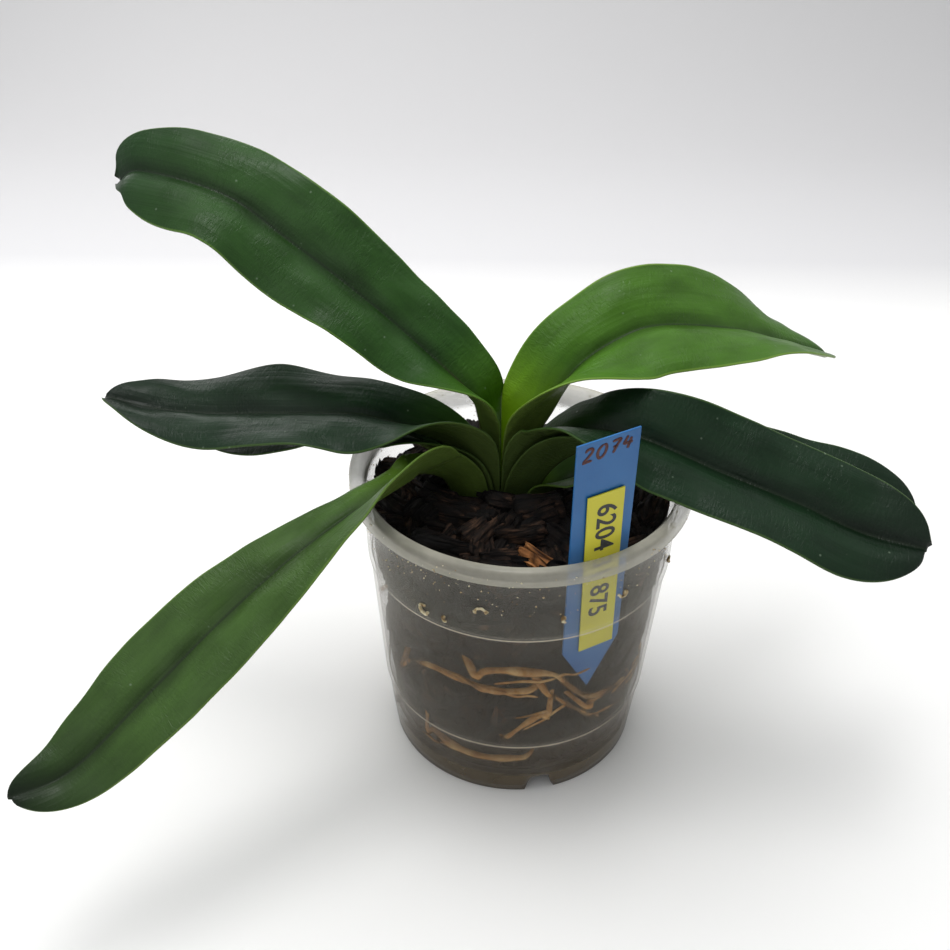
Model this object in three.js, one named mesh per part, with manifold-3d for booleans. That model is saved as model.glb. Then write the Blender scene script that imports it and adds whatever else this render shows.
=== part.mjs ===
// A lady's-slipper orchid without a flower, in a clear plastic pot.
// Two ranks of strap leaves clasp each other at the crown, orange-brown roots run down the inside
// of the pot wall, coarse bark fills the pot and a pointed plant tag stands in it.
// Millimetres, +Z up, the pot stands on z = 0.

import * as THREE from "three";
import { mergeVertices } from "three/addons/utils/BufferGeometryUtils.js";
import Module from "manifold-3d";

const wasm = await Module();
wasm.setup();

// ---------------------------------------------------------------- driving dimensions

const CLEAR = 0.35; // gap between pieces that touch
const POT = {
  height: 106,
  rim: 55, // outer radius of the rim band
  rimBand: 5.6, // height of the rim band
  lip: 3.2, // width of the lip's flat top
  collar: 50.3, // outer radius of the wall above the stacking step
  step: 75, // height of the stacking step
  waist: 49.6, // outer radius just under the step
  ledge: 24, // height of the small ledge near the base
  floor: 8.2, // height of the underside of the floor
  foot: 43.2, // outer radius of the foot ring
  wall: 1.0,
  sides: 48,
};
const NOTCH = { count: 4, first: -79, width: 9, height: 6.5 }; // gaps in the foot ring, degrees and mm
const DRAIN = { count: 6, ring: 27, radius: 3.2 }; // holes in the floor
const BARK = { level: 90, chips: 42, behind: 0.3 }; // the chips stand out this far from the bed's side
const PALE_CHIP = { x: 4.5, y: -34, length: 12, width: 7, height: 5 }; // a fresh chip, still orange-brown
const CROWN = { x: -6.5, y: 2.5, foot: 86, holeX: 18.6, holeY: 9.4 }; // where the leaf bases stand
const STEM = { radius: 8.2, stretch: 1.92, height: 17 }; // wider along the fan
const ROOT = { radius: 1.6, sides: 5, step: 6.5, stride: 10, seat: 1, tunnel: 0.5 };
const TAG = {
  width: 20,
  shoulder: 20, // height of the pointed end
  length: 102,
  thick: 0.6,
  tip: [22.1, -37.6, 45],
  turn: 27, // about Z, degrees
  lean: 4.3, // top towards the front
  tilt: -3, // top to the left
};
const STICKER = { width: 12, bottom: 19.5, top: 83, shift: 1.4, skew: 1.2, thick: 0.4 };
const LEAF = {
  midrib: 1.3, // thickness along the midrib
  margin: 0.7, // thickness along the margins
  sheathFold: 62, // how steeply the two halves fold up at the base, degrees
  clasp: 0.7, // the clasping halves end this far from the middle of the fan
  stations: 26,
  halfColumns: 3,
};

// Each leaf: side of the fan, heading from +X in degrees, where its two halves start to open, their
// widths at the base as a share of the greatest, its keel as [out, up] from the crown's foot, greatest
// half width, where that width is reached, where the tip starts to round and how bluntly, fold and dome
// of the blade, roll of the blade [middle, tip] in degrees, and the wave [height, count, start] of its
// two margins. Places along the leaf run from 0 at the base to 1 at the tip.
const LEAVES = {
  leaf_1: {
    side: "left", heading: 162.9, opens: [0.12, 0.02], necks: [0.44, 0.6],
    keel: [
      [5, 0], [5.3, 18], [6.8, 36], [11.5, 46], [38, 65.5],
      [68.2, 85.6], [88.6, 97.6], [116, 101.8], [125.3, 97.7],
    ],
    width: 18.4, widest: 0.65, taper: 0.81, blunt: 2.1, fold: 6, dome: 15, roll: [-40, -37],
    waves: [[2.8, 3.67, -0.56], [2.8, 2.67, 0.56]],
  },
  leaf_2: {
    side: "left", heading: 176.7, opens: [0.15, 0.09], necks: [1, 0.41],
    keel: [
      [8.4, 0], [9.2, 11], [12.8, 20], [19.5, 27], [31, 31.5],
      [46.2, 35], [70.1, 34.3], [92.9, 33.2], [110.2, 34], [126.4, 37.9],
    ],
    width: 19.4, widest: 0.66, taper: 0.6, blunt: 1.4, fold: 6, dome: 16, roll: [-13, -11],
    waves: [[2.8, 2.26, 0.97], [1.6, 3.1, 0.3]],
  },
  leaf_3: {
    side: "left", heading: 170, opens: [0.12, 0], necks: [0.88, 0.38],
    keel: [
      [11.2, 0], [12, 9], [15.8, 17.5], [23, 23.5], [34, 27],
      [48, 28.5], [66, 24.5], [84, 20], [103, 17.5],
    ],
    width: 14, widest: 0.55, taper: 0.7, blunt: 2, fold: 10, dome: 12, roll: [-9, -14],
    waves: [[0.8, 2, 0.2], [0.8, 2, 0.6]],
  },
  leaf_4: {
    side: "left", heading: 219, opens: [0.2, -0.06], necks: [1, 0.36],
    keel: [
      [14.5, 0.6], [18.2, 12.8], [28.3, 22], [34.9, 26.1], [52.4, 25.6],
      [75.3, 19.4], [100.1, 8.5], [125, -5.5], [150.3, -19.4], [167.5, -18.2],
    ],
    width: 15.2, widest: 0.8, taper: 0.72, blunt: 1.5, fold: 6, dome: 9, roll: [-6, -34],
    waves: [[2.3, 2.46, 0.24], [2.6, 1.85, 1.16]],
  },
  leaf_5: {
    side: "right", heading: 21.2, opens: [0.15, 0.17], necks: [0.8, 0.88],
    keel: [
      [5, 0], [5.8, 12], [9, 25], [15, 37], [24, 49.5],
      [39.6, 57], [55, 58.8], [84.5, 51.9], [104, 43.1], [121.8, 36.1],
    ],
    width: 21.8, widest: 0.73, taper: 0.67, blunt: 1.8, fold: 11, dome: 10, roll: [24, 4],
    waves: [[2.8, 1.53, 0.27], [2.5, 1.7, 0.78]],
  },
  leaf_6: {
    side: "right", heading: -17.6, opens: [0, 0.16], necks: [0.41, 1],
    keel: [
      [8.4, 0], [9.6, 11], [14, 21], [20, 30], [28, 36],
      [43.8, 37.5], [71.1, 29.9], [94.1, 24], [112.3, 18.1], [131.4, 16.4],
    ],
    width: 18.4, widest: 0.64, taper: 0.77, blunt: 2.5, fold: 15, dome: 16, roll: [30, 36],
    waves: [[2.8, 1.63, 1.53], [2.1, 1.91, -0.05]],
  },
  leaf_7: {
    side: "right", heading: -7, opens: [0, 0.15], necks: [0.4, 0.9],
    keel: [
      [11.2, 0], [12.4, 9], [17.2, 18], [25.4, 25.5], [36, 29],
      [50, 29], [70, 24.5], [93, 19], [115, 14], [132, 9],
    ],
    width: 17, widest: 0.59, taper: 0.78, blunt: 2, fold: 10, dome: 12, roll: [22, 30],
    waves: [[1, 1.9, 0.3], [1, 2.1, -0.3]],
  },
  leaf_8: {
    side: "right", heading: -4, opens: [0.05, 0.15], necks: [0.5, 0.9],
    keel: [[14, 0.9], [16, 7], [22, 13], [32, 17], [44, 18]],
    width: 9, widest: 0.45, taper: 0.6, blunt: 1.8, fold: 22, dome: 8, roll: [6, 10],
    waves: [[0.4, 2, 0.3], [0.4, 2, 0.7]],
  },
};

// Each root leaves the stem, crosses the bark and follows the pot wall through [degrees, height] points.
const ROOTS = [
  [[-109, 56], [-97, 59], [-84, 58], [-76, 56], [-68, 48], [-59, 40.5], [-48, 38], [-30, 35]],
  [[-148, 42], [-132, 50], [-116, 51], [-100, 49], [-86, 50]],
  [[-80, 50], [-70, 41], [-60, 33], [-50, 25]],
  [[-62, 38], [-46, 37], [-28, 30], [-10, 36]],
  [[-77, 40], [-86, 34], [-94, 27]],
  [[-136, 18], [-120, 14], [-104, 13.5], [-86, 15]],
  [[-170, 60], [-182, 44], [-196, 30], [-214, 24]],
  [[20, 58], [36, 46], [54, 40], [72, 28]],
  [[110, 55], [96, 42], [84, 34], [98, 20]],
];

const MATERIALS = {
  pot: new THREE.MeshStandardMaterial({
    color: "#b9bab5",
    roughness: 0.25,
    metalness: 0,
    transparent: true,
    opacity: 0.45,
  }),
  bark: new THREE.MeshStandardMaterial({ color: "#2a1d16", roughness: 0.9, metalness: 0 }),
  paleBark: new THREE.MeshStandardMaterial({ color: "#9a6a3e", roughness: 0.85, metalness: 0 }),
  root: new THREE.MeshStandardMaterial({ color: "#a8703c", roughness: 0.8, metalness: 0 }),
  tag: new THREE.MeshStandardMaterial({ color: "#3f7fb0", roughness: 0.4, metalness: 0 }),
  sticker: new THREE.MeshStandardMaterial({ color: "#d8cf36", roughness: 0.5, metalness: 0 }),
  darkLeaf: new THREE.MeshStandardMaterial({ color: "#24362a", roughness: 0.35, metalness: 0 }),
  midLeaf: new THREE.MeshStandardMaterial({ color: "#3d5f34", roughness: 0.4, metalness: 0 }),
  youngLeaf: new THREE.MeshStandardMaterial({ color: "#4f7a32", roughness: 0.4, metalness: 0 }),
};
const LEAF_MATERIAL = {
  leaf_1: "midLeaf", leaf_2: "darkLeaf", leaf_3: "darkLeaf", leaf_4: "midLeaf",
  leaf_5: "youngLeaf", leaf_6: "darkLeaf", leaf_7: "darkLeaf", leaf_8: "midLeaf",
};

// ---------------------------------------------------------------- helpers

const rad = THREE.MathUtils.degToRad;
const smooth = (x) => THREE.MathUtils.smoothstep(x, 0, 1);
const GOLDEN_ANGLE = Math.PI * (3 - Math.sqrt(5));

// A small repeatable random source, so that every build places the same chips.
function seeded(seed) {
  let state = seed >>> 0;
  return () => {
    state = (state + 0x6d2b79f5) >>> 0;
    let t = Math.imul(state ^ (state >>> 15), 1 | state);
    t = (t + Math.imul(t ^ (t >>> 7), 61 | t)) ^ t;
    return ((t ^ (t >>> 14)) >>> 0) / 4294967296;
  };
}

function solid(geometry) {
  const bare = geometry.clone();
  bare.deleteAttribute("normal");
  bare.deleteAttribute("uv");
  const merged = mergeVertices(bare, 1e-4);
  return new wasm.Manifold(
    new wasm.Mesh({
      numProp: 3,
      vertProperties: merged.attributes.position.array,
      triVerts: new Uint32Array(merged.index.array),
    }),
  );
}

function geometryOf(body) {
  const mesh = body.getMesh();
  const geometry = new THREE.BufferGeometry();
  geometry.setAttribute("position", new THREE.BufferAttribute(mesh.vertProperties, 3));
  geometry.setIndex(new THREE.BufferAttribute(mesh.triVerts, 1));
  geometry.computeVertexNormals();
  return geometry;
}

// The main body alone: small voids shut in between pieces are filled and loose scraps left out.
function mainBody(body) {
  return body.decompose().sort((a, b) => b.volume() - a.volume())[0];
}

function indexed(points, triangles) {
  const geometry = new THREE.BufferGeometry().setFromPoints(points);
  geometry.setIndex(triangles.flat());
  geometry.computeVertexNormals();
  return geometry;
}

function lathe(profile, sides) {
  const points = profile.map(([radius, z]) => new THREE.Vector2(radius, z));
  return new THREE.LatheGeometry(points, sides).rotateX(Math.PI / 2);
}

// ---------------------------------------------------------------- pot

// Outer radius of the pot wall at a height.
function wallRadius(z) {
  if (z > POT.step + 1.5) return POT.collar + (z - POT.step) * 0.02;
  if (z > POT.step) return POT.waist + ((z - POT.step) / 1.5) * (POT.collar - POT.waist);
  if (z > POT.ledge) return THREE.MathUtils.mapLinear(z, POT.ledge, POT.step, 46.1, POT.waist);
  return THREE.MathUtils.mapLinear(z, 0, POT.ledge, POT.foot, 45.6);
}

function makePot() {
  const { height, rim, rimBand, lip, step, ledge, floor, wall } = POT;
  const inner = (z) => wallRadius(z) - wall;
  const bandFoot = height - rimBand;
  const profile = [
    [0, floor], // underside of the floor
    [inner(floor) - 1.5, floor],
    [inner(0) - 0.8, 0], // foot ring
    [wallRadius(0), 0],
    [wallRadius(floor), floor],
    [wallRadius(ledge), ledge],
    [wallRadius(ledge + 0.6), ledge + 0.6],
    [wallRadius(step), step],
    [wallRadius(step + 1.5), step + 1.5],
    [wallRadius(bandFoot - 0.8), bandFoot - 0.8],
    [rim - 0.5, bandFoot], // rim band
    [rim, bandFoot + 0.6],
    [rim, height - 1.2],
    [rim - 0.9, height],
    [rim - 0.9 - lip * 0.6, height],
    [inner(height - 3) + 0.3, height - 2.2], // lip slopes down into the pot
    [inner(height - 5), height - 5],
    [inner(step + 1.5), step + 1.5],
    [inner(step), step],
    [inner(ledge + 0.6), ledge + 0.6],
    [inner(ledge), ledge],
    [inner(floor + 1.2), floor + 1.2],
    [0, floor + 1.2],
  ];
  let body = solid(lathe(profile, POT.sides));
  for (let i = 0; i < NOTCH.count; i += 1) {
    const [narrow, wide] = [NOTCH.width * 0.36, NOTCH.width * 0.5 * Math.SQRT2];
    const cutter = new THREE.CylinderGeometry(narrow, wide, NOTCH.height * 2, 4);
    cutter.rotateY(Math.PI / 4).rotateX(Math.PI / 2).scale(3, 1, 1);
    cutter.translate(POT.foot, 0, 0).rotateZ(rad(NOTCH.first + (360 * i) / NOTCH.count));
    body = body.subtract(solid(cutter));
  }
  for (let i = 0; i < DRAIN.count; i += 1) {
    const drill = new THREE.CylinderGeometry(DRAIN.radius, DRAIN.radius, 4, 10).rotateX(Math.PI / 2);
    drill.translate(DRAIN.ring, 0, floor + 0.6).rotateZ(rad((360 * i) / DRAIN.count));
    body = body.subtract(solid(drill));
  }
  return geometryOf(body);
}

// ---------------------------------------------------------------- roots and stem

// Tube along a smooth curve through the given points.
function tube(points, radius, sides) {
  const curve = new THREE.CatmullRomCurve3(points);
  const section = new THREE.Shape();
  for (let i = 0; i <= sides; i += 1) {
    const turn = (2 * Math.PI * i) / sides;
    const [x, y] = [radius * Math.cos(turn), radius * Math.sin(turn)];
    if (i === 0) section.moveTo(x, y);
    else section.lineTo(x, y);
  }
  const steps = Math.max(4, Math.round(curve.getLength() / ROOT.step));
  return new THREE.ExtrudeGeometry(section, { steps, bevelEnabled: false, extrudePath: curve });
}

// From inside the stem through the bark, then round the wall a few degrees at a time.
function rootRoute(wallPoints) {
  const stem = new THREE.Vector3(CROWN.x, CROWN.y, CROWN.foot - STEM.height * 0.6);
  const unrolled = new THREE.SplineCurve(wallPoints.map(([degrees, z]) => new THREE.Vector2(degrees, z)));
  const count = Math.ceil(unrolled.getLength() / ROOT.stride);
  const along = unrolled.getSpacedPoints(count).map(({ x: degrees, y: z }) => {
    const reach = wallRadius(z) - POT.wall - ROOT.radius - ROOT.seat;
    return new THREE.Vector3(reach * Math.cos(rad(degrees)), reach * Math.sin(rad(degrees)), z);
  });
  const bend = stem.clone().lerp(along[0], 0.6).add(along[0]).sub(along[1]);
  return [stem, bend, ...along];
}

// The short flat stem with its roots; grow thickens them for the holes they stand in.
function stemWithRoots(grow) {
  const { radius, stretch, height } = STEM;
  const [wide, top, low] = [radius + grow, CROWN.foot - CLEAR + grow, CROWN.foot - height - grow];
  const shoulder = [[wide, low + height * 0.4], [wide, top - 2], [wide - 1, top]];
  const profile = [[0, low], [wide * 0.6, low], ...shoulder, [0, top]];
  let body = solid(lathe(profile, 16).scale(stretch, 1, 1).translate(CROWN.x, CROWN.y, 0));
  for (const wallPoints of ROOTS) {
    const route = rootRoute(wallPoints);
    body = body.add(solid(tube(route, ROOT.radius + grow, ROOT.sides)));
    if (grow > 0) {
      const tipRoom = new THREE.IcosahedronGeometry(1.3 * (ROOT.radius + grow), 0);
      body = body.add(solid(tipRoom.translate(...route.at(-1))));
    }
  }
  return body;
}

// ---------------------------------------------------------------- leaves

// One leaf as a folded strap: the two halves rise from the keel, clasp the fan at the base and open
// into the blade.
function leafGeometry(leaf) {
  const rank = leaf.side === "left" ? 180 : 0;
  const start = leaf.keel[0][0];
  const headingAt = (out) => rad(rank + (leaf.heading - rank) * smooth((out - start) / 25));
  const foot = new THREE.Vector3(CROWN.x, CROWN.y, CROWN.foot);
  const keelPoints = leaf.keel.map(([out, up]) => {
    const heading = headingAt(out);
    return new THREE.Vector3(out * Math.cos(heading), out * Math.sin(heading), up).add(foot);
  });
  const keel = new THREE.CatmullRomCurve3(keelPoints, false, "catmullrom", 0.5);
  keel.arcLengthDivisions = 400;
  const { stations, halfColumns } = LEAF;
  const columns = 2 * halfColumns + 1;
  const rows = [];
  for (let i = 0; i <= stations; i += 1) {
    rows.push(leafSection(leaf, keel, foot, headingAt, i / stations));
  }
  const upper = [];
  const lower = [];
  rows.forEach((row, i) => {
    row.forEach((point, j) => {
      const along = rows[Math.min(i + 1, stations)][j].clone().sub(rows[Math.max(i - 1, 0)][j]);
      const across = row[Math.min(j + 1, columns - 1)].clone().sub(row[Math.max(j - 1, 0)]);
      const normal = along.cross(across).normalize();
      const edge = Math.abs(j - halfColumns) / halfColumns;
      const half = THREE.MathUtils.lerp(LEAF.midrib, LEAF.margin, edge) / 2;
      upper.push(point.clone().addScaledVector(normal, half));
      lower.push(point.clone().addScaledVector(normal, -half));
    });
  });
  return indexed([...upper, ...lower], shellTriangles(stations + 1, columns));
}

// Points across the leaf at a station u from 0 at the base to 1 at the tip.
function leafSection(leaf, keel, foot, headingAt, u) {
  const centre = keel.getPointAt(u);
  const along = keel.getTangentAt(u);
  const reach = Math.hypot(centre.x - foot.x, centre.y - foot.y);
  const heading = headingAt(reach);
  const outward = new THREE.Vector3(Math.cos(heading), Math.sin(heading), 0);
  const side = new THREE.Vector3(-Math.sin(heading), Math.cos(heading), 0);
  side.addScaledVector(along, -side.dot(along)).normalize();
  const inside = new THREE.Vector3().crossVectors(along, side);
  const towardsStem = THREE.MathUtils.clamp(-inside.dot(outward), 0.03, 1);
  const opening = (start) => smooth((u - start) / 0.3);
  const opened = opening(Math.max(...leaf.opens));
  const roll = rad(leaf.roll[0] * opened + (leaf.roll[1] - leaf.roll[0]) * smooth((u - 0.45) / 0.5));
  side.applyAxisAngle(along, roll);
  inside.applyAxisAngle(along, roll);
  const rounding = Math.max(0, (u - leaf.taper) / (1 - leaf.taper)) ** leaf.blunt;
  const ending = Math.sqrt(Math.max(0.004, 1 - rounding));
  const row = [];
  for (let j = -LEAF.halfColumns; j <= LEAF.halfColumns; j += 1) {
    const hand = Math.sign(j);
    const half = hand > 0 ? 0 : 1;
    const open = opening(leaf.opens[half]);
    const swell = THREE.MathUtils.lerp(leaf.necks[half], 1, smooth(u / leaf.widest));
    const blade = leaf.width * swell * ending;
    const fold = rad(THREE.MathUtils.lerp(LEAF.sheathFold, leaf.fold, open));
    const clasp = (reach - LEAF.clasp) / (towardsStem * Math.sin(fold));
    const width = (blade ** -6 + clasp ** -6) ** (-1 / 6);
    const reached = Math.abs(j) / LEAF.halfColumns;
    const [flat, rise] = halfSection(fold, rad(leaf.dome) * open, reached);
    const [wave, count, phase] = leaf.waves[half];
    const ripple = wave * open * Math.sqrt(width / leaf.width) * reached ** 2;
    const lift = ripple * Math.sin(2 * Math.PI * (count * u + phase));
    row.push(
      centre
        .clone()
        .addScaledVector(side, hand * flat * width)
        .addScaledVector(inside, rise * width + lift),
    );
  }
  return row;
}

// Where a half blade is after a share of its width: its slope falls from fold + dome to fold - dome.
function halfSection(fold, dome, reached) {
  const steps = 6;
  let flat = 0;
  let rise = 0;
  for (let i = 0; i < steps; i += 1) {
    const slope = fold + dome * (1 - (2 * (i + 0.5) * reached) / steps);
    flat += (Math.cos(slope) * reached) / steps;
    rise += (Math.sin(slope) * reached) / steps;
  }
  return [flat, rise];
}

// Triangles of a thin closed plate: an upper and a lower grid, split alike, and a band round their edge.
function shellTriangles(rows, columns) {
  const size = rows * columns;
  const at = (i, j) => i * columns + j;
  const triangles = [];
  for (let i = 0; i < rows - 1; i += 1) {
    for (let j = 0; j < columns - 1; j += 1) {
      const [a, b, c, d] = [at(i, j), at(i + 1, j), at(i + 1, j + 1), at(i, j + 1)];
      triangles.push([a, b, c], [a, c, d]);
      triangles.push([a + size, c + size, b + size], [a + size, d + size, c + size]);
    }
  }
  const rim = [];
  for (let j = 0; j < columns - 1; j += 1) rim.push(at(0, j));
  for (let i = 0; i < rows - 1; i += 1) rim.push(at(i, columns - 1));
  for (let j = columns - 1; j > 0; j -= 1) rim.push(at(rows - 1, j));
  for (let i = rows - 1; i > 0; i -= 1) rim.push(at(i, 0));
  rim.forEach((a, n) => {
    const b = rim[(n + 1) % rim.length];
    triangles.push([a, b, b + size], [a, b + size, a + size]);
  });
  return triangles;
}

// ---------------------------------------------------------------- bark

// An irregular six-sided chip, longer than wide, with its grain along x.
function chip(random, length, width, height) {
  const geometry = new THREE.BoxGeometry(length, width, height);
  const bare = mergeVertices(geometry.deleteAttribute("normal").deleteAttribute("uv"));
  const position = bare.attributes.position;
  for (let i = 0; i < position.count; i += 1) {
    position.setXYZ(
      i,
      position.getX(i) * (0.7 + 0.5 * random()),
      position.getY(i) * (0.65 + 0.5 * random()),
      position.getZ(i) * (0.7 + 0.5 * random()),
    );
  }
  return bare;
}

function placedChip(random, x, y, z) {
  const shape = chip(random, 11 + 7 * random(), 7 + 4 * random(), 5 + 3 * random());
  shape.rotateX((random() - 0.5) * 0.9).rotateY((random() - 0.5) * 0.7).rotateZ(random() * Math.PI * 2);
  return shape.translate(x, y, z);
}

// The fresh chip half sunk in the bed; grow gives the hollow that it lies in.
function paleChip(grow) {
  const { x, y, length, width, height } = PALE_CHIP;
  const [long, wide, high] = [length, width, height].map((size) => size + 3 * grow);
  const shape = chip(seeded(5), long, wide, high).rotateY(0.12).rotateZ(-0.5);
  return shape.translate(x, y, BARK.level + 1.5);
}

// Chips lie on golden-angle places round the pot, higher towards the crown.
function makeBark(hollows) {
  const random = seeded(11);
  const low = POT.floor + 1.2 + CLEAR;
  const edge = (z) => wallRadius(z) - POT.wall - CLEAR - 0.25;
  const bends = [POT.ledge, POT.step, POT.step + 1.5];
  const { level, chips, behind } = BARK;
  const side = [low, ...bends, level - 3].map((z) => [edge(z) - behind, z]);
  const profile = [[0, low], ...side, [edge(level) - 4, level - 1], [0, level]];
  let body = solid(lathe(profile, POT.sides));
  for (let i = 0; i < chips; i += 1) {
    const reach = 42 * Math.sqrt((i + 1) / chips);
    const turn = i * GOLDEN_ANGLE;
    const z = level - 0.5 + 2.5 * random() - reach * 0.03;
    body = body.add(solid(placedChip(random, reach * Math.cos(turn), reach * Math.sin(turn), z)));
  }
  const wall = [0, ...bends, level + 10].map((z) => [edge(z), z]);
  const inside = lathe([[0, 0], ...wall, [0, level + 10]], POT.sides);
  const filled = mainBody(body.intersect(solid(inside)));
  return mainBody(hollows.reduce((bed, hollow) => bed.subtract(hollow), filled));
}

// The leaf bases stand in one plain hole, an oval along the fan.
function crownHole() {
  const hole = new THREE.CylinderGeometry(1, 1, 40, 20).rotateX(Math.PI / 2);
  hole.scale(CROWN.holeX, CROWN.holeY, 1).translate(CROWN.x, CROWN.y, CROWN.foot - 3 * CLEAR + 20);
  return solid(hole);
}

// ---------------------------------------------------------------- tag

// A flat plate in the tag's own plane: x across, z up from the tip, y through the plate.
function plate(outline, thick, front, grow = 0) {
  const shape = new THREE.Shape(outline.map(([x, z]) => new THREE.Vector2(x, z)));
  const geometry = new THREE.ExtrudeGeometry(shape, { depth: thick + 2 * grow, bevelEnabled: false });
  geometry.rotateX(Math.PI / 2).translate(0, front + thick + grow, 0);
  return geometry;
}

function placeOnTag(geometry) {
  const turn = new THREE.Euler(rad(TAG.lean), rad(TAG.tilt), rad(TAG.turn), "ZXY");
  const matrix = new THREE.Matrix4().makeRotationFromEuler(turn).setPosition(...TAG.tip);
  return geometry.applyMatrix4(matrix);
}

function tagOutline(grow) {
  const [half, shoulder, top] = [TAG.width / 2 + grow, TAG.shoulder, TAG.length + grow];
  return [[0, -1.5 * grow], [half, shoulder], [half, top], [-half, top], [-half, shoulder]];
}

const tagPlate = (grow) => placeOnTag(plate(tagOutline(grow), TAG.thick, 0, grow));

// The paper sticker is stuck on the tag's front a little askew.
function stickerPlate(grow) {
  const { width, bottom, top, shift, skew, thick } = STICKER;
  const [left, right] = [shift - width / 2 - grow, shift + width / 2 + grow];
  const [low, high] = [bottom - grow, top + grow];
  const outline = [[left, low], [right, low], [right - skew, high], [left - skew, high]];
  return placeOnTag(plate(outline, thick, -thick - CLEAR, grow));
}

// ---------------------------------------------------------------- assembly

const plant = new THREE.Group();

function place(name, geometry, material) {
  const mesh = new THREE.Mesh(geometry, material);
  mesh.name = name;
  plant.add(mesh);
}

place("pot", makePot(), MATERIALS.pot);
place("stem_with_roots", geometryOf(stemWithRoots(0)), MATERIALS.root);
const labelSlots = [solid(tagPlate(CLEAR)), solid(stickerPlate(CLEAR))];
const hollows = [crownHole(), stemWithRoots(ROOT.tunnel), ...labelSlots, solid(paleChip(CLEAR))];
place("bark_bed", geometryOf(makeBark(hollows)), MATERIALS.bark);
place("bark_chip_pale", paleChip(0), MATERIALS.paleBark);
for (const [name, leaf] of Object.entries(LEAVES)) {
  place(name, leafGeometry(leaf), MATERIALS[LEAF_MATERIAL[name]]);
}
place("label_tag", tagPlate(0), MATERIALS.tag);
place("label_sticker", stickerPlate(0), MATERIALS.sticker);

// The origin is the middle of the footprint, on the surface that the pot stands on.
const box = new THREE.Box3().setFromObject(plant);
const middle = box.getCenter(new THREE.Vector3());
plant.position.set(-middle.x, -middle.y, -box.min.z);

export default plant;
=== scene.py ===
# %% [markdown]
# # A lady's-slipper orchid in a clear pot
# The plant is a fan of eight leaves in two ranks, without a flower. It stands in coarse bark in a
# translucent pot, its roots run down the inside of the wall, and a blue plant tag is pushed in beside it.
# The solids of the CAD model fix where everything is. This lesson dresses them: each step models one
# piece finer than its solid, in metres and in the same frame, and gives it a procedural material.

# %% Load the CAD frame
import math
from functools import partial
from itertools import product

import bmesh
import bpy
import numpy as np
from mathutils import Matrix, Vector


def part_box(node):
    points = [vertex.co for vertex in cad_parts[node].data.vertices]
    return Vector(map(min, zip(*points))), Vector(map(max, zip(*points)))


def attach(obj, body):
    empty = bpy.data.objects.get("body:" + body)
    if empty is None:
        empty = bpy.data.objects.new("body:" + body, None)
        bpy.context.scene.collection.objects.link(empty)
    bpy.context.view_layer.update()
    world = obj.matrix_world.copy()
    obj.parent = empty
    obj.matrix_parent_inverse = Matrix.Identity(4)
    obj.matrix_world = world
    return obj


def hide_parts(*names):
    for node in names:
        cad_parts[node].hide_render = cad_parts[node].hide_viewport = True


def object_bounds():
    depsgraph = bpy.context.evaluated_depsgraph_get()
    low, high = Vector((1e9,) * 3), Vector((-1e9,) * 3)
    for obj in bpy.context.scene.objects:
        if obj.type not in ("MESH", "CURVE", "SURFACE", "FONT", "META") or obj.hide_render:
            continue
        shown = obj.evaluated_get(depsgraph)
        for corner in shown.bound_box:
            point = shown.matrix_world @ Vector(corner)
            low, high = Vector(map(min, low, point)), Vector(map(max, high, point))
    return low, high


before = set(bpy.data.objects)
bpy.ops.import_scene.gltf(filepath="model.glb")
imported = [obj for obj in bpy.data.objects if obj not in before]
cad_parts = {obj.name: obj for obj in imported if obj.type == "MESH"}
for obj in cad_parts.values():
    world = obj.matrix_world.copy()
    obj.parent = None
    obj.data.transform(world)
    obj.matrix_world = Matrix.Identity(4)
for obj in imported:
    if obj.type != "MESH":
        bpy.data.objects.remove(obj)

CAD_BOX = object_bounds()
MM = 0.001
POT_LOW, POT_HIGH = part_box("pot")
POT_AXIS = np.array([(POT_LOW.x + POT_HIGH.x) / 2, (POT_LOW.y + POT_HIGH.y) / 2, 0.0]) / MM
print("nodes", len(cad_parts), "pot axis in mm", POT_AXIS.round(3))

# %% [markdown]
# ## Colours and nodes
# Colours are written the way a paint program shows them, as sRGB hex, and one function turns them into the
# linear numbers that the renderer works with. A material is a tree of nodes. One small helper adds any node,
# sets its options, and fills its inputs with values or links them to other nodes. A longer helper for each
# kind of node would hide what the tree is made of, so there is none. A texture's scale counts its features
# in a metre, so one function works it out from how many millimetres apart they are.

# %% Helpers for colours and nodes
def linear(hex_colour):
    """An sRGB hex colour as linear RGBA."""
    channels = [int(hex_colour[i : i + 2], 16) / 255 for i in (1, 3, 5)]
    return (*[c / 12.92 if c <= 0.04045 else ((c + 0.055) / 1.055) ** 2.4 for c in channels], 1.0)


def every(millimetres):
    """The scale of a texture whose features are this far apart."""
    return 1 / (millimetres * MM)


def fill(node, *values, **named):
    """Fills or links the inputs of a node: in their order, or by name with _ for a space."""
    shown = [socket for socket in node.inputs if socket.enabled]
    by_name = {socket.name.replace(" ", "_"): socket for socket in shown}
    for socket, value in [*zip(shown, values), *((by_name[name], value) for name, value in named.items())]:
        if isinstance(value, bpy.types.Node):
            value = next(output for output in value.outputs if output.enabled)
        if isinstance(value, bpy.types.NodeSocket):
            node.id_data.links.new(value, socket)
        else:
            socket.default_value = value


def add_node(tree, kind, *values, **settings):
    """Adds one node. Settings in small letters are its options, and all else fills its inputs."""
    node = tree.nodes.new("ShaderNode" + kind)
    for option in filter(str.islower, settings):
        setattr(node, option, settings[option])
    fill(node, *values, **{name: value for name, value in settings.items() if not name.islower()})
    return node


def new_material(name):
    """An empty material, the adder of its nodes, and its Principled shader, joined to the output."""
    material = bpy.data.materials.new(name)
    material.use_nodes = True
    tree = material.node_tree
    tree.nodes.clear()
    add = partial(add_node, tree)
    shader = add("BsdfPrincipled")
    add("OutputMaterial", Surface=shader)
    return material, add, shader


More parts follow.
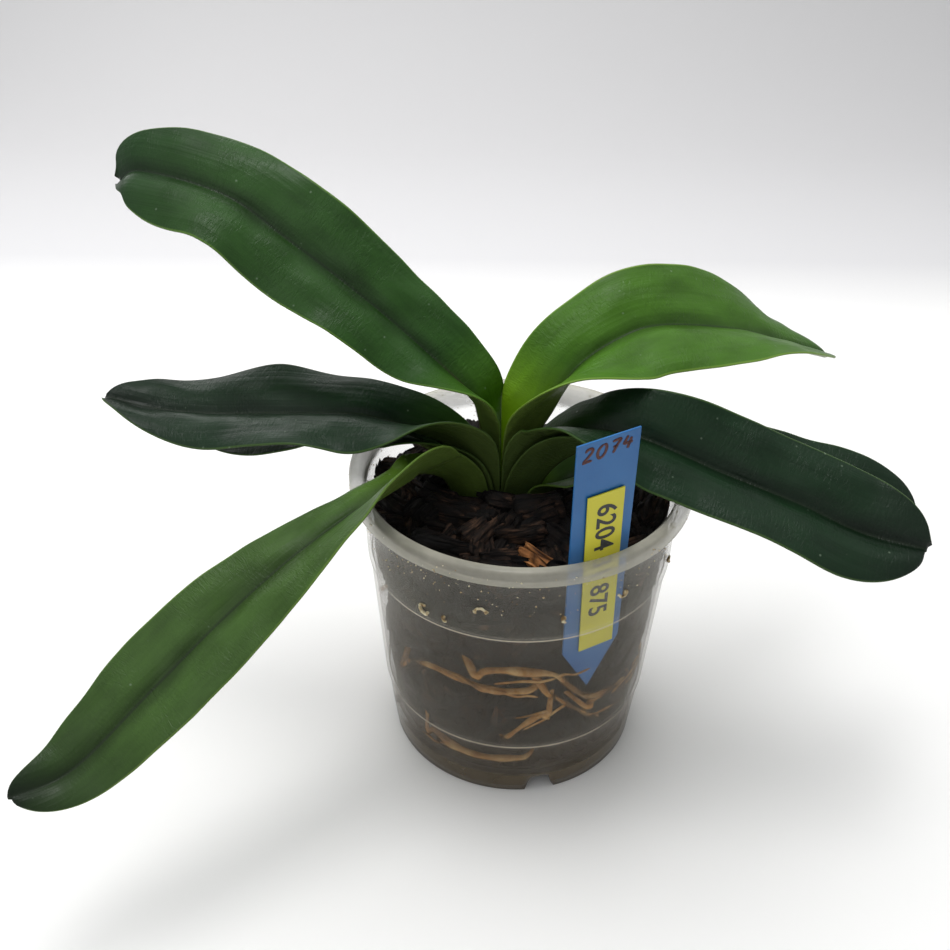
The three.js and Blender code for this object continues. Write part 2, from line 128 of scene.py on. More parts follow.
def set_ramp(ramp, *stops):
    """Gives a colour ramp its stops, as (place, hex colour or grey from 0 to 1) pairs."""
    elements = ramp.color_ramp.elements
    while len(elements) < len(stops):
        elements.new(1.0)
    for element, (place, colour) in zip(elements, stops):
        element.position = place
        element.color = linear(colour) if isinstance(colour, str) else (colour, colour, colour, 1)
    return ramp


print("helpers ready: #808080 is", round(linear("#808080")[0], 4), "in linear light")

# %% [markdown]
# ## Meshes from arrays
# Most pieces here are grids: rows of points bent into a leaf, a pot wall or a root. Writing the points with
# numpy and handing them to Blender in one go is quick and exact, and the piece keeps its place in its mesh,
# with its object at the origin. Float attributes on the points, such as how far along a leaf a point is,
# travel to the material, so a colour can follow the form without any picture.

# %% Helpers for meshes
def put_in_scene(name, data):
    """An object in the scene for a mesh, a lamp, a camera or a text."""
    thing = bpy.data.objects.new(name, data)
    bpy.context.scene.collection.objects.link(thing)
    return thing


def make_mesh(name, points_mm, faces, material, smooth_shading=True):
    """A mesh from points in millimetres."""
    mesh = bpy.data.meshes.new(name)
    mesh.from_pydata((np.asarray(points_mm) * MM).tolist(), [], [list(map(int, face)) for face in faces])
    mesh.polygons.foreach_set("use_smooth", [smooth_shading] * len(mesh.polygons))
    mesh.materials.append(material)
    mesh.update()
    return mesh


def make_piece(name, points_mm, faces, material, slot, replaces=(), smooth_shading=True, **attributes):
    """A piece that rides on the pot's body, from points in mm from the foot of the pot's axis."""
    placed = np.clip(np.asarray(points_mm) + POT_AXIS, *np.array(CAD_BOX) / MM)
    mesh = make_mesh(name, placed, faces, material, smooth_shading)
    for key, values in attributes.items():
        layer = mesh.attributes.new(key, "FLOAT", "POINT")
        layer.data.foreach_set("value", np.asarray(values, dtype=np.float32))
    piece = put_in_scene(name, mesh)
    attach(piece, "root")
    if replaces:
        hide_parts(*replaces)
    print(f"{name}: {len(mesh.vertices)} points, {len(mesh.polygons)} faces")
    return piece


def grid_faces(rows, columns, start=0, around=False):
    """Quads between neighbouring rows of points; around joins the last column to the first."""
    faces = []
    for i in range(rows - 1):
        for j in range(columns if around else columns - 1):
            k = (j + 1) % columns
            faces.append([start + i * columns + j, start + (i + 1) * columns + j,
                          start + (i + 1) * columns + k, start + i * columns + k])
    return faces


print("mesh helpers ready")

# %% [markdown]
# ## Camera
# The camera stands a little over 40 cm from the pot and looks down at about 35 degrees, as a person at a
# table does. Its place and direction are written as numbers in the pot's own frame, so the picture stays the
# same however the plant grows.

# %% Camera
CAMERA_PLACE = (-14.74, -291.2, 303.9)  # mm from the foot of the pot's axis
CAMERA_PITCH = math.radians(34.83)  # downwards
CAMERA_ROLL = math.radians(-0.62)
FOCAL_PIXELS, FRAME_PIXELS, SENSOR_WIDTH = 1100, 950, 36

camera = put_in_scene("camera", bpy.data.cameras.new("camera"))
camera.data.sensor_width = SENSOR_WIDTH
camera.data.lens = FOCAL_PIXELS / FRAME_PIXELS * SENSOR_WIDTH
# a camera looks straight down until it is turned up
raised = Matrix.Rotation(math.pi / 2 - CAMERA_PITCH, 4, "X") @ Matrix.Rotation(-CAMERA_ROLL, 4, "Z")
camera.matrix_world = Matrix.Translation(Vector((POT_AXIS + CAMERA_PLACE) * MM)) @ raised
bpy.context.scene.camera = camera
print("camera at", np.round(camera.matrix_world.translation, 4), "lens", round(camera.data.lens, 2), "mm")

# %% [markdown]
# ## Table, backdrop and light
# The plant stands on a plain white table in front of a pale wall. One sheet does for both: it runs back as
# the table and curves up as the wall. Its colour turns from white to grey on the way, which is painted shade
# where the light falls off towards the back; it starts on the table, well before the wall. The light is that
# of a bright kitchen. A broad ceiling panel gives most of it, and is hidden from reflections, so that the
# leaves keep their colour. A small skylight and a window low behind lay the soft highlights on them, a weak
# panel lights the front, and an even glow comes from all round, strongest low behind the plant.

# %% Table and backdrop
def make_stage():
    """A white sheet that lies flat and curves up into a wall, greyed towards the back with painted shade."""
    near, bend, rise, half_width, radius = -900, 620, 900, 2200, 260  # mm
    slopes = np.linspace(0, math.pi / 2, 24)
    quarter = [(bend + radius * math.sin(slope), radius - radius * math.cos(slope)) for slope in slopes]
    line = [(near, 0.0), *quarter, (bend + radius, rise)]
    points = [(x, y, z) for y, z in line for x in (-half_width, half_width)]
    # satin laminate: white, with a soft shine that shows no clear reflection
    material, add, shader = new_material("white_laminate_satin")
    depth = add("SeparateXYZ", add("TexCoord").outputs["Object"]).outputs["Y"]
    # painted shade: the sheet turns grey towards the back, where the light falls off
    falloff_shade_share = add("MapRange", depth, From_Min=0.34, From_Max=0.95)
    tone = set_ramp(add("ValToRGB", falloff_shade_share), (0.0, "#fbfaf8"), (0.14, "#dfdedf"), (1.0, "#c2c1c1"))
    fill(shader, Base_Color=tone, Roughness=0.5)
    mesh = make_mesh("table_and_wall", points, grid_faces(len(line), 2), material)
    put_in_scene("table_and_wall", mesh)


make_stage()
print("stage ready")

# %% Lights
LAMPS = {  # place from the foot of the pot's axis and size, both in mm, power in watts, seen in reflections
    "panel_ceiling": ((-100, 250, 1150), (1500, 1100), 10.0, False),
    "panel_skylight": ((-60, 60, 1100), (420, 260), 2.2, True),
    "panel_window": ((-350, 720, 520), (800, 450), 1.5, True),
    "panel_front": ((-500, -900, 900), (1000, 1000), 1.8, True),
}
LIT_HEIGHT = 90  # mm up the pot's axis, where the lamps point
for lamp_name, (lamp_place, (lamp_width, lamp_depth), watts, reflected) in LAMPS.items():
    lamp_data = bpy.data.lights.new(lamp_name, "AREA")
    lamp_data.shape, lamp_data.energy = "RECTANGLE", watts
    lamp_data.size, lamp_data.size_y = lamp_width * MM, lamp_depth * MM
    lamp = put_in_scene(lamp_name, lamp_data)
    lamp.location = Vector((POT_AXIS + lamp_place) * MM)
    target = Vector((POT_AXIS + np.array([0, 0, LIT_HEIGHT])) * MM)
    lamp.rotation_euler = (target - lamp.location).to_track_quat("-Z", "Y").to_euler()
    lamp.visible_glossy, lamp.visible_camera = reflected, False

world = bpy.data.worlds.new("room_glow")
world.use_nodes = True
add = partial(add_node, world.node_tree)
towards = add("SeparateXYZ", add("TexCoord").outputs["Generated"]).outputs
back_and_low = add("Math", towards["Y"], towards["Z"], operation="SUBTRACT")
glow = add("MapRange", back_and_low, From_Min=-1.2, From_Max=0.6, To_Min=0.38, To_Max=0.85)
fill(world.node_tree.nodes["Background"], Color=linear("#eef1f4"), Strength=glow)
bpy.context.scene.world = world
bpy.context.scene.view_settings.view_transform = "Standard"
print("lamps:", ", ".join(LAMPS))

# %% [markdown]
# ## How a leaf is shaped
# A slipper orchid's leaf is a strap folded along its keel. At the base the two halves stand up steeply and
# clasp the younger leaves. Further out they open into a blade with a sunken midrib, two crowned halves and
# gently waving margins. Subdividing a rough hand-made cage could give that, but eight leaves would need
# eight cages. Here one formula makes them all: a keel curve, a half width, how far the halves are folded,
# how far the blade is rolled and how its margins wave. The CAD solids use the same formula more coarsely.

# %% Leaf values
CROWN_FOOT = np.array([-6.5, 2.5, 86.0])  # where the leaf bases stand, mm from the foot of the pot's axis
MIDRIB_THICKNESS, MARGIN_THICKNESS = 1.3, 0.7
SHEATH_FOLD = 62  # how steeply the halves rise at the base, degrees
CLASP_GAP = 0.15  # mm, the margins of a clasping base stop this far short of the crown's middle

# Rank and heading in degrees, where the two halves open, their widths at the base as a share of the
# greatest, the keel as (out, up) from the crown's foot, greatest half width and where it is, where the tip
# starts to round and how bluntly, fold and dome of the blade, its roll at the middle and at the tip, and the
# waves (height, count, start) of both margins.
LEAVES = {
    "leaf_1": dict(
        rank=180, heading=162.9, opens=(0.12, 0.02), necks=(0.44, 0.6),
        keel=[(5, 0), (5.3, 18), (6.8, 36), (11.5, 46), (38, 65.5),
              (68.2, 85.6), (88.6, 97.6), (116, 101.8), (125.3, 97.7)],
        width=18.4, widest=0.65, taper=0.81, blunt=2.1, fold=6, dome=15, roll=(-40, -37),
        waves=((2.8, 3.67, -0.56), (2.8, 2.67, 0.56))),
    "leaf_2": dict(
        rank=180, heading=176.7, opens=(0.15, 0.09), necks=(1, 0.41),
        keel=[(8.4, 0), (9.2, 11), (12.8, 20), (19.5, 27), (31, 31.5),
              (46.2, 35), (70.1, 34.3), (92.9, 33.2), (110.2, 34), (126.4, 37.9)],
        width=19.4, widest=0.66, taper=0.6, blunt=1.4, fold=6, dome=16, roll=(-13, -11),
        waves=((2.8, 2.26, 0.97), (1.6, 3.1, 0.3))),
    "leaf_3": dict(
        rank=180, heading=170, opens=(0.12, 0), necks=(0.88, 0.38),
        keel=[(11.2, 0), (12, 9), (15.8, 17.5), (23, 23.5), (34, 27),
              (48, 28.5), (66, 24.5), (84, 20), (103, 17.5)],
        width=14, widest=0.55, taper=0.7, blunt=2, fold=10, dome=12, roll=(-9, -14),
        waves=((0.8, 2, 0.2), (0.8, 2, 0.6))),
    "leaf_4": dict(
        rank=180, heading=219, opens=(0.2, -0.06), necks=(1, 0.36),
        keel=[(14.5, 0.6), (18.2, 12.8), (28.3, 22), (34.9, 26.1), (52.4, 25.6),
              (75.3, 19.4), (100.1, 8.5), (125, -5.5), (150.3, -19.4), (167.5, -18.2)],
        width=15.2, widest=0.8, taper=0.72, blunt=1.5, fold=6, dome=9, roll=(-6, -34),
        waves=((2.3, 2.46, 0.24), (2.6, 1.85, 1.16))),
    "leaf_5": dict(
        rank=0, heading=21.2, opens=(0.15, 0.17), necks=(0.8, 0.88),
        keel=[(5, 0), (5.8, 12), (9, 25), (15, 37), (24, 49.5),
              (39.6, 57), (55, 58.8), (84.5, 51.9), (104, 43.1), (121.8, 36.1)],
        width=21.8, widest=0.73, taper=0.67, blunt=1.8, fold=11, dome=10, roll=(24, 4),
        waves=((2.8, 1.53, 0.27), (2.5, 1.7, 0.78))),
    "leaf_6": dict(
        rank=0, heading=-17.6, opens=(0, 0.16), necks=(0.41, 1),
        keel=[(8.4, 0), (9.6, 11), (14, 21), (20, 30), (28, 36),
              (43.8, 37.5), (71.1, 29.9), (94.1, 24), (112.3, 18.1), (131.4, 16.4)],
        width=18.4, widest=0.64, taper=0.77, blunt=2.5, fold=15, dome=16, roll=(30, 36),
        waves=((2.8, 1.63, 1.53), (2.1, 1.91, -0.05))),
    "leaf_7": dict(
        rank=0, heading=-7, opens=(0, 0.15), necks=(0.4, 0.9),
        keel=[(11.2, 0), (12.4, 9), (17.2, 18), (25.4, 25.5), (36, 29),
              (50, 29), (70, 24.5), (93, 19), (115, 14), (132, 9)],
        width=17, widest=0.59, taper=0.78, blunt=2, fold=10, dome=12, roll=(22, 30),
        waves=((1, 1.9, 0.3), (1, 2.1, -0.3))),
    "leaf_8": dict(
        rank=0, heading=-4, opens=(0.05, 0.15), necks=(0.5, 0.9),
        keel=[(14, 0.9), (16, 7), (22, 13), (32, 17), (44, 18)],
        width=9, widest=0.45, taper=0.6, blunt=1.8, fold=22, dome=8, roll=(6, 10),
        waves=((0.4, 2, 0.3), (0.4, 2, 0.7))),
}
print("leaves:", ", ".join(LEAVES))


# %% Curves, and vectors round the pot's axis
def polar(radius, turns, z):
    """Points at a radius and an angle round the pot's axis, and at a height."""
    radius, turns, z = np.broadcast_arrays(radius, turns, z)
    return np.stack([radius * np.cos(turns), radius * np.sin(turns), z], -1)


def unit(vectors):
    """Vectors made one long."""
    return vectors / np.linalg.norm(vectors, axis=-1, keepdims=True)


def smooth(x):
    """Eases from 0 to 1 as x goes from 0 to 1."""
    x = np.clip(x, 0.0, 1.0)
    return x * x * (3 - 2 * x)


def curve_through(points, per_span=40):
    """A Catmull-Rom curve through the points, and the length along it at each sample."""
    points = np.asarray(points, dtype=float)
    ends = np.vstack([2 * points[0] - points[1], points, 2 * points[-1] - points[-2]])
    t = np.linspace(0, 1, per_span, endpoint=False)[:, None]
    spans = [0.5 * (2 * b + (c - a) * t + (2 * a - 5 * b + 4 * c - d) * t**2 + (3 * b - a - 3 * c + d) * t**3)
             for a, b, c, d in zip(ends, ends[1:], ends[2:], ends[3:])]
    curve = np.vstack([*spans, points[-1:]])
    lengths = np.r_[0, np.cumsum(np.linalg.norm(np.diff(curve, axis=0), axis=1))]
    return curve, lengths


def sample(curve, lengths, shares):
    """Points on a curve at shares of its length."""
    return np.stack([np.interp(np.asarray(shares) * lengths[-1], lengths, curve[:, i]) for i in range(3)], 1)


corner = [(0, 0, 0), (10, 0, 0), (10, 10, 0)]
print("a curve through a corner of 10 mm sides is", round(curve_through(corner)[1][-1], 1), "mm long")

# %% Points of a leaf
TURN_OUT = 25  # mm from its base over which a leaf turns from its rank to its own heading
OPENING, ROLLING = 0.3, (0.45, 0.5)  # shares of the length over which the halves open and the roll changes
CLASP_SHARPNESS = 6.0  # how suddenly the clasping base gives way to the blade
DOME_STEPS, KEEL_STEP = 6, 0.002  # pieces of a domed half, and the share of the keel that gives its direction


def turned(vectors, axes, angles):
    """Each vector turned about its own axis."""
    cos, sin = np.cos(angles)[:, None], np.sin(angles)[:, None]
    return vectors * cos + np.cross(axes, vectors) * sin


def leaf_grid(leaf, along_shares, across_shares):
    """Middle surface of a leaf: points, unit vectors towards the upper face, and places in mm."""
    u = np.asarray(along_shares)
    rank, start = leaf["rank"], leaf["keel"][0][0]

    def heading_at(out):
        return np.radians(rank + (leaf["heading"] - rank) * smooth((np.asarray(out) - start) / TURN_OUT))

    outs, ups = np.array(leaf["keel"], dtype=float).T
    keel, lengths = curve_through(CROWN_FOOT + polar(outs, heading_at(outs), ups))
    centre = sample(keel, lengths, u)
    ahead, behind = np.minimum(u + KEEL_STEP, 1), np.maximum(u - KEEL_STEP, 0)
    along = unit(sample(keel, lengths, ahead) - sample(keel, lengths, behind))
    reach = np.hypot(*(centre - CROWN_FOOT)[:, :2].T)
    heading = heading_at(reach)
    outward, side = polar(1, heading, 0), polar(1, heading + math.pi / 2, 0)
    side = unit(side - (side * along).sum(1)[:, None] * along)
    inside = np.cross(along, side)
    towards_stem = np.clip(-(inside * outward).sum(1), 0.03, 1)

    def opening(begin):
        return smooth((u - begin) / OPENING)

    opened = opening(max(leaf["opens"]))
    late = smooth((u - ROLLING[0]) / ROLLING[1])
    roll = np.radians(leaf["roll"][0] * opened + (leaf["roll"][1] - leaf["roll"][0]) * late)
    side, inside = turned(side, along, roll), turned(inside, along, roll)
    rounding = np.maximum(0, (u - leaf["taper"]) / (1 - leaf["taper"])) ** leaf["blunt"]
    ending = np.sqrt(np.maximum(0.004, 1 - rounding))
    points = np.zeros((len(u), len(across_shares), 3))
    across_mm = np.zeros(points.shape[:2])
    for j, share in enumerate(across_shares):
        hand, reached = np.sign(share), abs(share)
        half = 0 if hand > 0 else 1
        opened_half = opening(leaf["opens"][half])
        fold = np.radians(SHEATH_FOLD + (leaf["fold"] - SHEATH_FOLD) * opened_half)
        dome = math.radians(leaf["dome"]) * opened_half
        swell = leaf["necks"][half] + (1 - leaf["necks"][half]) * smooth(u / leaf["widest"])
        blade = leaf["width"] * swell * ending
        clasp = (reach - CLASP_GAP) / (towards_stem * np.sin(fold))
        width = (blade**-CLASP_SHARPNESS + clasp**-CLASP_SHARPNESS) ** (-1 / CLASP_SHARPNESS)
        slopes = [fold + dome * (1 - 2 * (i + 0.5) * reached / DOME_STEPS) for i in range(DOME_STEPS)]
        flat = sum(np.cos(slope) for slope in slopes) * reached / DOME_STEPS
        rise = sum(np.sin(slope) for slope in slopes) * reached / DOME_STEPS
        wave, count, phase = leaf["waves"][half]
        ripple = wave * opened_half * np.sqrt(width / leaf["width"]) * reached**2
        lift = ripple * np.sin(2 * math.pi * (count * u + phase))
        points[:, j] = (centre + side * (hand * flat * width)[:, None]
                        + inside * (rise * width + lift)[:, None])
        across_mm[:, j] = share * width
    upward = unit(np.cross(np.gradient(points, axis=0), np.gradient(points, axis=1)))
    return points, upward, u * lengths[-1], across_mm


print("leaf 1 is", round(leaf_grid(LEAVES["leaf_1"], np.linspace(0, 1, 9), (-1, 0, 1))[2][-1]), "mm long")


# %% [markdown]
# ## Leaf thickness, midrib and puckers
# A leaf is about a millimetre thick at the midrib and thinner at its margins, which are rounded. On the
# upper face the midrib is a narrow groove, and under the leaf it is a low keel. Between them the blade
# puckers a little, which is what breaks up its highlights. These are real forms that the outline and the
# light both show, so they are made in the mesh, and only the finer veins are left to the material.

# %% Leaf meshes
LEAF_ROWS, TIP_CROWDING = 150, 1.15  # rows of points lie closer together towards the tip
HALF_COLUMNS = (0, 0.03, 0.07, 0.13, 0.2, 0.29, 0.38, 0.47, 0.56, 0.65, 0.74, 0.82, 0.89, 0.94, 0.972, 0.988,
                1)
VALLEY_DEPTH, VALLEY_WIDTH = 0.9, 4.5  # mm, the trough that the two halves rise from
GROOVE_DEPTH, GROOVE_WIDTH = 0.22, 1.0  # mm, midrib on the upper face
KEEL_DEPTH, KEEL_WIDTH = 0.35, 1.2  # mm, midrib under the leaf
PUCKER_HEIGHT, PUCKER_SPACING, PUCKER_STRETCH = 0.28, 9.0, 0.6  # mm, mm, and how they stretch lengthwise
ROUND_MARGIN, ROUND_TIP = 0.035, 0.008  # shares of the half width and of the length
# where relief starts along the leaf, how gently there and beside the midrib, and how it ends at the tip
RELIEF_START, RELIEF_EASE, MIDRIB_EASE, TIP_START, TIP_EASE = 0.12, 0.25, 0.15, 0.93, 0.07


def rounding_off(x, power, least):
    """Goes from 1 down to a rounded end as x goes from 0 to 1."""
    return np.sqrt(np.clip(1 - np.clip(x, 0, 1) ** power, least, 1))


def hill(x):
    """A bell from 1 at x = 0 down to nothing."""
    return np.exp(-(x**2))


def wavelets(x, y, seed, spacing, count=9):
    """A smooth field between about -1 and 1 with bumps of the given spacing, from a few seeded waves."""
    random = np.random.default_rng(seed)
    field = np.zeros(np.broadcast(x, y).shape)
    for _ in range(count):
        angle, phase = random.uniform(0, 2 * math.pi, 2)
        pace = 2 * math.pi / (spacing * random.uniform(0.7, 1.6))
        field = field + np.sin(pace * (x * math.cos(angle) + y * math.sin(angle)) + phase)
    return field / math.sqrt(2 * count)


def make_leaf(name, leaf, material, slot):
    shares = 1 - (1 - np.linspace(0, 1, LEAF_ROWS)) ** TIP_CROWDING
    across = np.array([-h for h in HALF_COLUMNS[:0:-1]] + list(HALF_COLUMNS))
    points, upward, along_mm, across_mm = leaf_grid(leaf, shares, across)
    edge = np.abs(across)[None, :] + 0 * across_mm
    open_blade = smooth((shares - RELIEF_START) / RELIEF_EASE)[:, None]
    pucker = wavelets(along_mm[:, None] * PUCKER_STRETCH, across_mm, int(name[-1]), PUCKER_SPACING)
    pucker *= PUCKER_HEIGHT * open_blade * smooth(edge / MIDRIB_EASE)
    pucker *= 1 - smooth((shares - TIP_START) / TIP_EASE)[:, None]
    valley = VALLEY_DEPTH * hill(across_mm / VALLEY_WIDTH) * open_blade
    points = points + upward * (pucker - valley)[:, :, None]
    tip_rounded = rounding_off((shares - (1 - ROUND_TIP)) / ROUND_TIP, 2, 0.02)[:, None]
    half = (MIDRIB_THICKNESS + (MARGIN_THICKNESS - MIDRIB_THICKNESS) * edge) / 2
    half = half * rounding_off((edge - (1 - ROUND_MARGIN)) / ROUND_MARGIN, 2, 0.02) * tip_rounded
    groove = GROOVE_DEPTH * hill(across_mm / GROOVE_WIDTH) * open_blade
    keel = KEEL_DEPTH * hill(across_mm / KEEL_WIDTH) * open_blade * tip_rounded
    upper = points + upward * (half - groove)[:, :, None]
    lower = points - upward * (half + keel)[:, :, None]
    rows, columns = edge.shape
    size = rows * columns
    numbers = np.arange(size).reshape(rows, columns)
    rim = [*numbers[0], *numbers[1:, -1], *numbers[-1, -2::-1], *numbers[-2:0:-1, 0]]
    faces = grid_faces(rows, columns) + [face[::-1] for face in grid_faces(rows, columns, start=size)]
    faces += [[a, b, b + size, a + size] for a, b in zip(rim, rim[1:] + rim[:1])]
    both = lambda values: np.tile((values + 0 * edge).ravel(), 2)
    make_piece(f"orchid_{name}", np.vstack([*upper, *lower]), faces, material, slot, (name,),
               reach=both(shares[:, None]), edge=both(edge), along=both(along_mm[:, None] * MM),
               across=both(across_mm * MM), underside=np.repeat([0, 1], size))


# %% [markdown]
# ## Leaf finish
# An orchid leaf is leathery with a thin wax bloom: dark green, semi-glossy, with the highlight broken by fine
# veins that run the length of the leaf and by shallow cross wrinkles. The base is paler, yellower and less
# waxy, the margin is a thin pale line, and the underside is a duller olive. The midrib is a dark line, brown
# near the base and painted shade of its groove further out, and painted shade also darkens the valley
# beside it. The attributes written on the points carry all of that, so the pattern bends with the leaf.

# %% Leaf colour
def leaf_colour(add, strap, reach, edge, across, underside, base, blade, tip, margin, under):
    """Colour over a leaf from its attributes: along it, across it, and under it."""
    length_colour = set_ramp(add("ValToRGB", reach),
                             (0, base), (0.16, base), (0.34, blade), (0.82, blade), (1, tip))
    # cloudy patches 9 mm wide and 20 mm long
    stretched = add("Mapping", strap, Scale=(0.45, 1.0, 1.0))
    blotch = add("TexNoise", stretched, Scale=every(9.09), Detail=5.0, Roughness=0.6)
    blotch_tone = add("MapRange", blotch, From_Min=0.3, From_Max=0.7, To_Min=0.74, To_Max=1.24)
    # painted shade in the trough along the midrib: darker there, fading out 5 mm from the midrib
    from_midrib = add("Math", across, operation="ABSOLUTE")
    painted_valley_shade = add("MapRange", from_midrib, From_Min=0.4 * MM, From_Max=5.0 * MM, To_Min=0.62, To_Max=1.0,
                 interpolation_type="SMOOTHSTEP")
    tone = add("Math", blotch_tone, painted_valley_shade, operation="MULTIPLY")
    toned = add("VectorMath", length_colour, Scale=tone, operation="SCALE")
    # the underside is duller and more olive
    under_toned = add("VectorMath", linear(under)[:3], Scale=blotch_tone, operation="SCALE")
    both_sides = add("Mix", underside, toned, under_toned, data_type="RGBA")
    # thin pale margin, half a millimetre wide, and a dark midrib line: brown near the base, and painted shade
    # in its groove further out
    margin_share = add("MapRange", edge, From_Min=0.957, From_Max=0.985, To_Max=0.5,
                       interpolation_type="SMOOTHSTEP")
    off_sheath = add("MapRange", reach, From_Min=0.1, From_Max=0.4, To_Min=0.25)
    margin_mix = add("Math", margin_share, off_sheath, operation="MULTIPLY")
    with_margin = add("Mix", margin_mix, both_sides, linear(margin), data_type="RGBA")
    # painted shade of the midrib's groove, 0.6 mm wide, over the midrib's own brown near the base
    groove_shade_share = add("MapRange", from_midrib, From_Min=0.6 * MM, From_Max=0.1 * MM, To_Max=0.6)
    midrib_and_groove_shade = set_ramp(add("ValToRGB", reach), (0, "#5b4a2a"), (0.2, "#3d3a1e"), (0.35, "#182214"))
    with_groove_shade = add("Mix", groove_shade_share, with_margin, midrib_and_groove_shade, data_type="RGBA")
    # a few pale scars under a millimetre across, 7 mm apart
    scar = add("TexVoronoi", strap, Scale=every(6.667), Randomness=1.0)
    scar_share = add("MapRange", scar, From_Min=0.07, From_Max=0.03, To_Max=0.3)
    return add("Mix", scar_share, with_groove_shade, linear("#8fa08a"), data_type="RGBA")


print("leaf colour ready: patches count", round(every(9.09)), "in a metre")

# %% Leaf veins and wrinkles
def leaf_relief(add, strap):
    """Veins that run along a leaf, and patches of fine wrinkles across it."""
    # veins 1.6 mm apart
    vein_map = add("Mapping", strap, Scale=(0.02, 1.0, 1.0))
    veins = add("TexNoise", vein_map, Scale=every(1.613), Detail=2.0)
    vein_bump = add("Bump", Height=veins, Strength=0.4, Distance=0.5 * MM)
    # wrinkles a millimetre apart, in patches 17 mm wide
    wrinkle_map = add("Mapping", strap, Rotation=(0, 0, math.radians(14)), Scale=(1.0, 0.34, 1.0))
    wrinkles = add("TexNoise", wrinkle_map, Scale=every(1.111), Detail=3.0, Distortion=1.2)
    patches = add("TexNoise", strap, Scale=every(16.67), Detail=1.0)
    patch_share = add("MapRange", patches, From_Min=0.38, From_Max=0.62, To_Min=0.15)
    wrinkle_height = add("Math", wrinkles, patch_share, operation="MULTIPLY")
    return add("Bump", Height=wrinkle_height, Strength=0.65, Distance=0.5 * MM, Normal=vein_bump)


print("leaf relief ready: veins count", round(every(1.613)), "in a metre")

# %% Leaf materials
WAX_IOR = 1.45


def leaf_material(name, *colours, roughness):
    material, add, shader = new_material(name)
    reach, edge, along, across, underside = [
        add("Attribute", attribute_name=key).outputs["Fac"]
        for key in ("reach", "edge", "along", "across", "underside")]
    strap = add("CombineXYZ", along, across, underside)
    colour = leaf_colour(add, strap, reach, edge, across, underside, *colours)
    # gloss, broken by patches of wax bloom 2 to 5 mm long; the wax is thin near the base
    bloom = add("TexNoise", add("Mapping", strap, Scale=(0.45, 1.0, 1.0)), Scale=every(2.381), Detail=3.0)
    gloss = add("MapRange", bloom, From_Min=0.3, From_Max=0.7,
                To_Min=roughness - 0.06, To_Max=roughness + 0.1)
    wax = add("MapRange", reach, From_Min=0.25, From_Max=0.6, To_Min=0.14, To_Max=0.34)
    fill(shader, Base_Color=colour, Roughness=gloss, Specular_IOR_Level=wax, IOR=WAX_IOR,
         Normal=leaf_relief(add, strap))
    return material


# colours of the base, the blade, the tip, the margin and the underside of each finish
LEAF_FINISH = {age: leaf_material(f"waxy_orchid_leaf_{age}", *colours, roughness=roughness)
               for age, roughness, *colours in (
    ("mature", 0.36, "#2a4714", "#142a17", "#132316", "#4c682f", "#48582a"),
    ("grown", 0.36, "#3f660c", "#28481b", "#1c351a", "#6b9038", "#52652c"),
    # the low finish darkens to near black at its tip, painted shade for the drooping tip of leaf_4
    ("low", 0.38, "#4d6a1e", "#395422", "#162413", "#6f8c3c", "#566a2e"),
    ("young", 0.38, "#71960f", "#3f661a", "#3a611e", "#86a545", "#5c7030"))}
# the record's slot that each finish stands for, and the finish of each leaf
LEAF_SLOTS = {"mature": "leaf_dark", "grown": "leaf_mid", "low": "leaf_mid", "young": "leaf_young"}
LEAF_AGES = ("grown", "mature", "mature", "low", "young", "mature", "mature", "low")
for (leaf_name, leaf_values), age in zip(LEAVES.items(), LEAF_AGES):
    make_leaf(leaf_name, leaf_values, LEAF_FINISH[age], LEAF_SLOTS[age])

# %% [markdown]
# ## Pot
# The pot is injection moulded in translucent polypropylene with a wall of one millimetre. It is a body of
# revolution: a foot ring with four gaps for drainage, a small ledge low on the wall, a step for stacking,
# and a rounded rim band with a sloping lip. A lathe of one profile gives all of it. The gaps in the foot are
# made by lifting the lowest rings of points there, which keeps the mesh clean, and only the drain holes in
# the floor are cut with a Boolean modifier.

# %% Pot mesh
POT_HEIGHT, RIM_RADIUS, RIM_BAND, LIP = 106.0, 55.0, 5.6, 3.2
COLLAR, COLLAR_FLARE, WAIST, STEP_HEIGHT, STEP_RISE = 50.3, 0.02, 49.6, 75.0, 1.5
LEDGE_HEIGHT, LEDGE_RADII, FOOT_RADIUS, WALL = 24.0, (45.6, 46.1), 43.2, 1.0
FLOOR_HEIGHT, FLOOR_TOP, FLOOR_RINGS = 8.2, 9.4, (6.0, 20.0, 34.0)
NOTCH_COUNT, NOTCH_FIRST, NOTCH_WIDTH, NOTCH_HEIGHT, NOTCH_SIDES = 4, -79.0, 9.0, 6.5, (1.3, 1.6)
DRAIN_COUNT, DRAIN_RING, DRAIN_RADIUS = 6, 27.0, 3.2
POT_SIDES = 240


def full_turn(sides):
    """Angles all the way round, in radians."""
    return np.arange(sides) * 2 * math.pi / sides


def wall_radius(z):
    """Outer radius of the pot wall at a height."""
    z = np.asarray(z, dtype=float)
    under_ledge, over_ledge = LEDGE_RADII
    low = FOOT_RADIUS + z / LEDGE_HEIGHT * (under_ledge - FOOT_RADIUS)
    body = over_ledge + (z - LEDGE_HEIGHT) / (STEP_HEIGHT - LEDGE_HEIGHT) * (WAIST - over_ledge)
    step = WAIST + (z - STEP_HEIGHT) / STEP_RISE * (COLLAR - WAIST)
    top = COLLAR + (z - STEP_HEIGHT) * COLLAR_FLARE
    return np.select([z > STEP_HEIGHT + STEP_RISE, z > STEP_HEIGHT, z > LEDGE_HEIGHT], [top, step, body], low)


